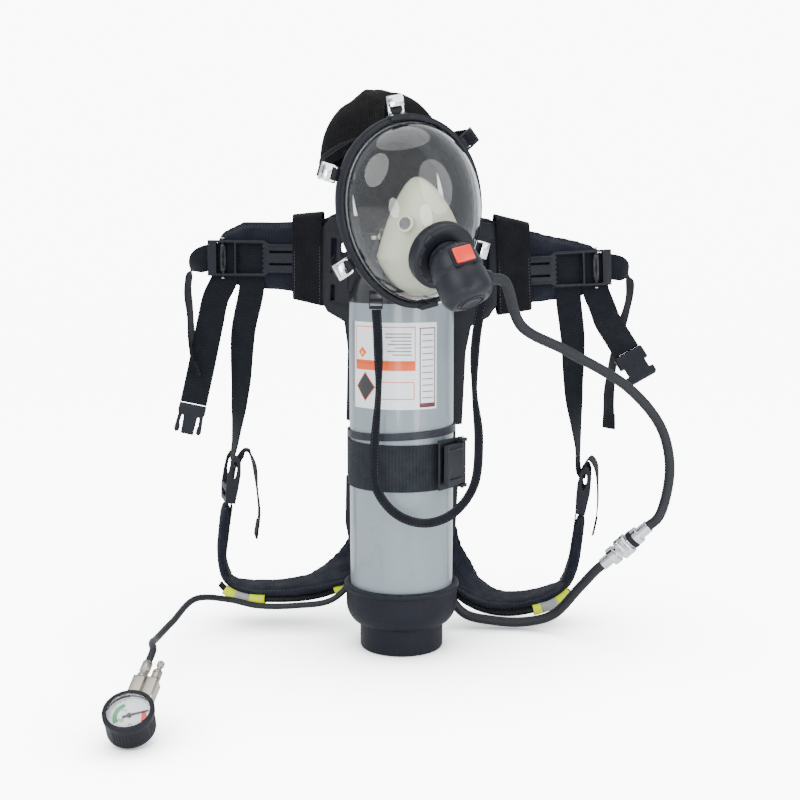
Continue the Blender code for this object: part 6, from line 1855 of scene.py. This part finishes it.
# %% Head net
def net_shape(bm):
    """Soft folds that the cloth falls into."""
    for vert in bm.verts:
        x, y, z = vert.co
        rise = max(0.0, z) / 0.098
        fold = 0.0034 * np.exp(-(((x + 0.006 - 0.10 * y) / 0.006) ** 2))
        fold -= 0.0030 * np.exp(-(((x + 0.030) / 0.010) ** 2))
        fold -= 0.0026 * np.exp(-(((x - 0.022) / 0.009) ** 2))
        ripple = 0.0010 * sin(x * 160 + y * 60) * (1 - rise)
        ends = min(1.0, max(0.0, z) / 0.02) * min(1.0, (1 - min(1.0, rise)) / 0.12)
        vert.co.z += (fold + ripple) * ends
    return bm


lining = net_shape(oval_dome(0.0930, 34, 120, shape=(0.93, 0.60), grow=-0.0008))
net_lining = finished("head_net_lining", lining, NET_CLOTH, ("head_net",), angle=80, matrix=NET)
walled(net_lining, 0.0008)
threads = net_shape(oval_dome(0.0944, 46, 150, shape=(0.93, 0.60)))
bmesh.ops.triangulate(threads, faces=threads.faces)
net_threads = finished("head_net_threads", threads, NET_CLOTH, angle=80, matrix=NET)
wire = net_threads.modifiers.new("threads", "WIREFRAME")
wire.thickness, wire.offset, wire.use_replace = 0.0007, 0.0, True
hem_rows = []
for t in np.linspace(0, 2 * pi, 73):
    x, y = oval(1.0, 0.0006, t)
    z = 0.0065
    point = NET @ Vector((x * 0.93 * 0.996, y * 0.60 * 0.996, z))
    hem_rows.append((*point, *(NET.to_3x3() @ Vector((0, 0, 1)))))
hem_route = Route(hem_rows, 200)
laid_strap("head_net_hem", hem_route, 0.0130, 0.0020, WEBBING, loop=True, across=6)
for u in (-0.0045, 0.0045):
    strap_seam(f"head_net_hem_seam_{'low' if u < 0 else 'high'}", hem_route, u,
        0.0012 if (hem_route.at(0.05, 0, 1) - Vector(NET.translation)).length > (hem_route.at(0.05, 0,
        -1) - Vector(NET.translation)).length else -0.0012, 0.005)
print("head net done")

# %% Net skirt behind the mask
def make_skirt():
    """The net's lower part: one cloth panel that hangs behind the mask, pulled forward at its sides."""
    bm = bmesh.new()
    bmesh.ops.create_grid(bm, x_segments=40, y_segments=28, size=0.5)
    layer = bm.loops.layers.uv.new("UVMap")
    for face in bm.faces:
        for loop in face.loops:
            loop[layer].uv = (loop.vert.co.x * SKIRT[0], loop.vert.co.y * SKIRT[1])
    for vert in bm.verts:
        u, v = vert.co.x, vert.co.y
        x, y = u * SKIRT[0], SKIRT_TOP - (0.5 - v) * SKIRT[1]
        bow = 0.010 * (2 * u) ** 2 + 0.0012 * sin(u * 26 + 4 * v)
        vert.co = (x * (1.0 - 0.10 * (0.5 - v)), y, SKIRT_DEPTH + bow)
    return bm


SKIRT, SKIRT_TOP, SKIRT_DEPTH = (0.122, 0.105), 0.086, -0.046
skirt = finished("head_net_skirt", make_skirt(), NET_CLOTH, angle=80, matrix=MASK)
walled(skirt, 0.0008)
print("skirt:", [round(d, 3) for d in skirt.dimensions])

# %% Neck strap and its ladder lock
neck = [
    (-0.0315, -0.1055, 0.4670, 1, 0, 0), (-0.0300, -0.0880, 0.4300, 1, 0, 0),
    (-0.0295, -0.0830, 0.3650, 0.6, 0.8, 0), (-0.0350, -0.0820, 0.2800, 1, 0.3, 0),
    (-0.0320, -0.0860, 0.2350, 1, 0.3, 0.6), (-0.0060, -0.0930, 0.2030, 0.4, 0.4, 1),
    (0.0300, -0.0990, 0.1930, 0, 0.5, 1), (0.0650, -0.0990, 0.2050, -0.4, 0.5, 1),
    (0.0920, -0.0960, 0.2400, -1, 0.4, 0.6), (0.0985, -0.0940, 0.3000, -1, 0.2, 0),
    (0.0925, -0.0940, 0.3650, -0.5, 0.9, 0), (0.0930, -0.0960, 0.4200, -1, 0.2, 0),
    (0.1000, -0.0920, 0.4700, -1, 0, 0), (0.1080, -0.0870, 0.5100, -1, 0, 0),
]
neck_route = Route(neck, 220)
laid_strap("neck_strap_web", neck_route, 0.0120, 0.0016, WEBBING, ("neck_strap",), across=4)
for u in (-0.0045, 0.0045):
    strap_seam(f"neck_strap_seam_{'a' if u < 0 else 'b'}", neck_route, u, 0.0009, 0.0042)
carried("neck_strap_lock", SLATE, 0.0005, 2)
print("neck strap done")
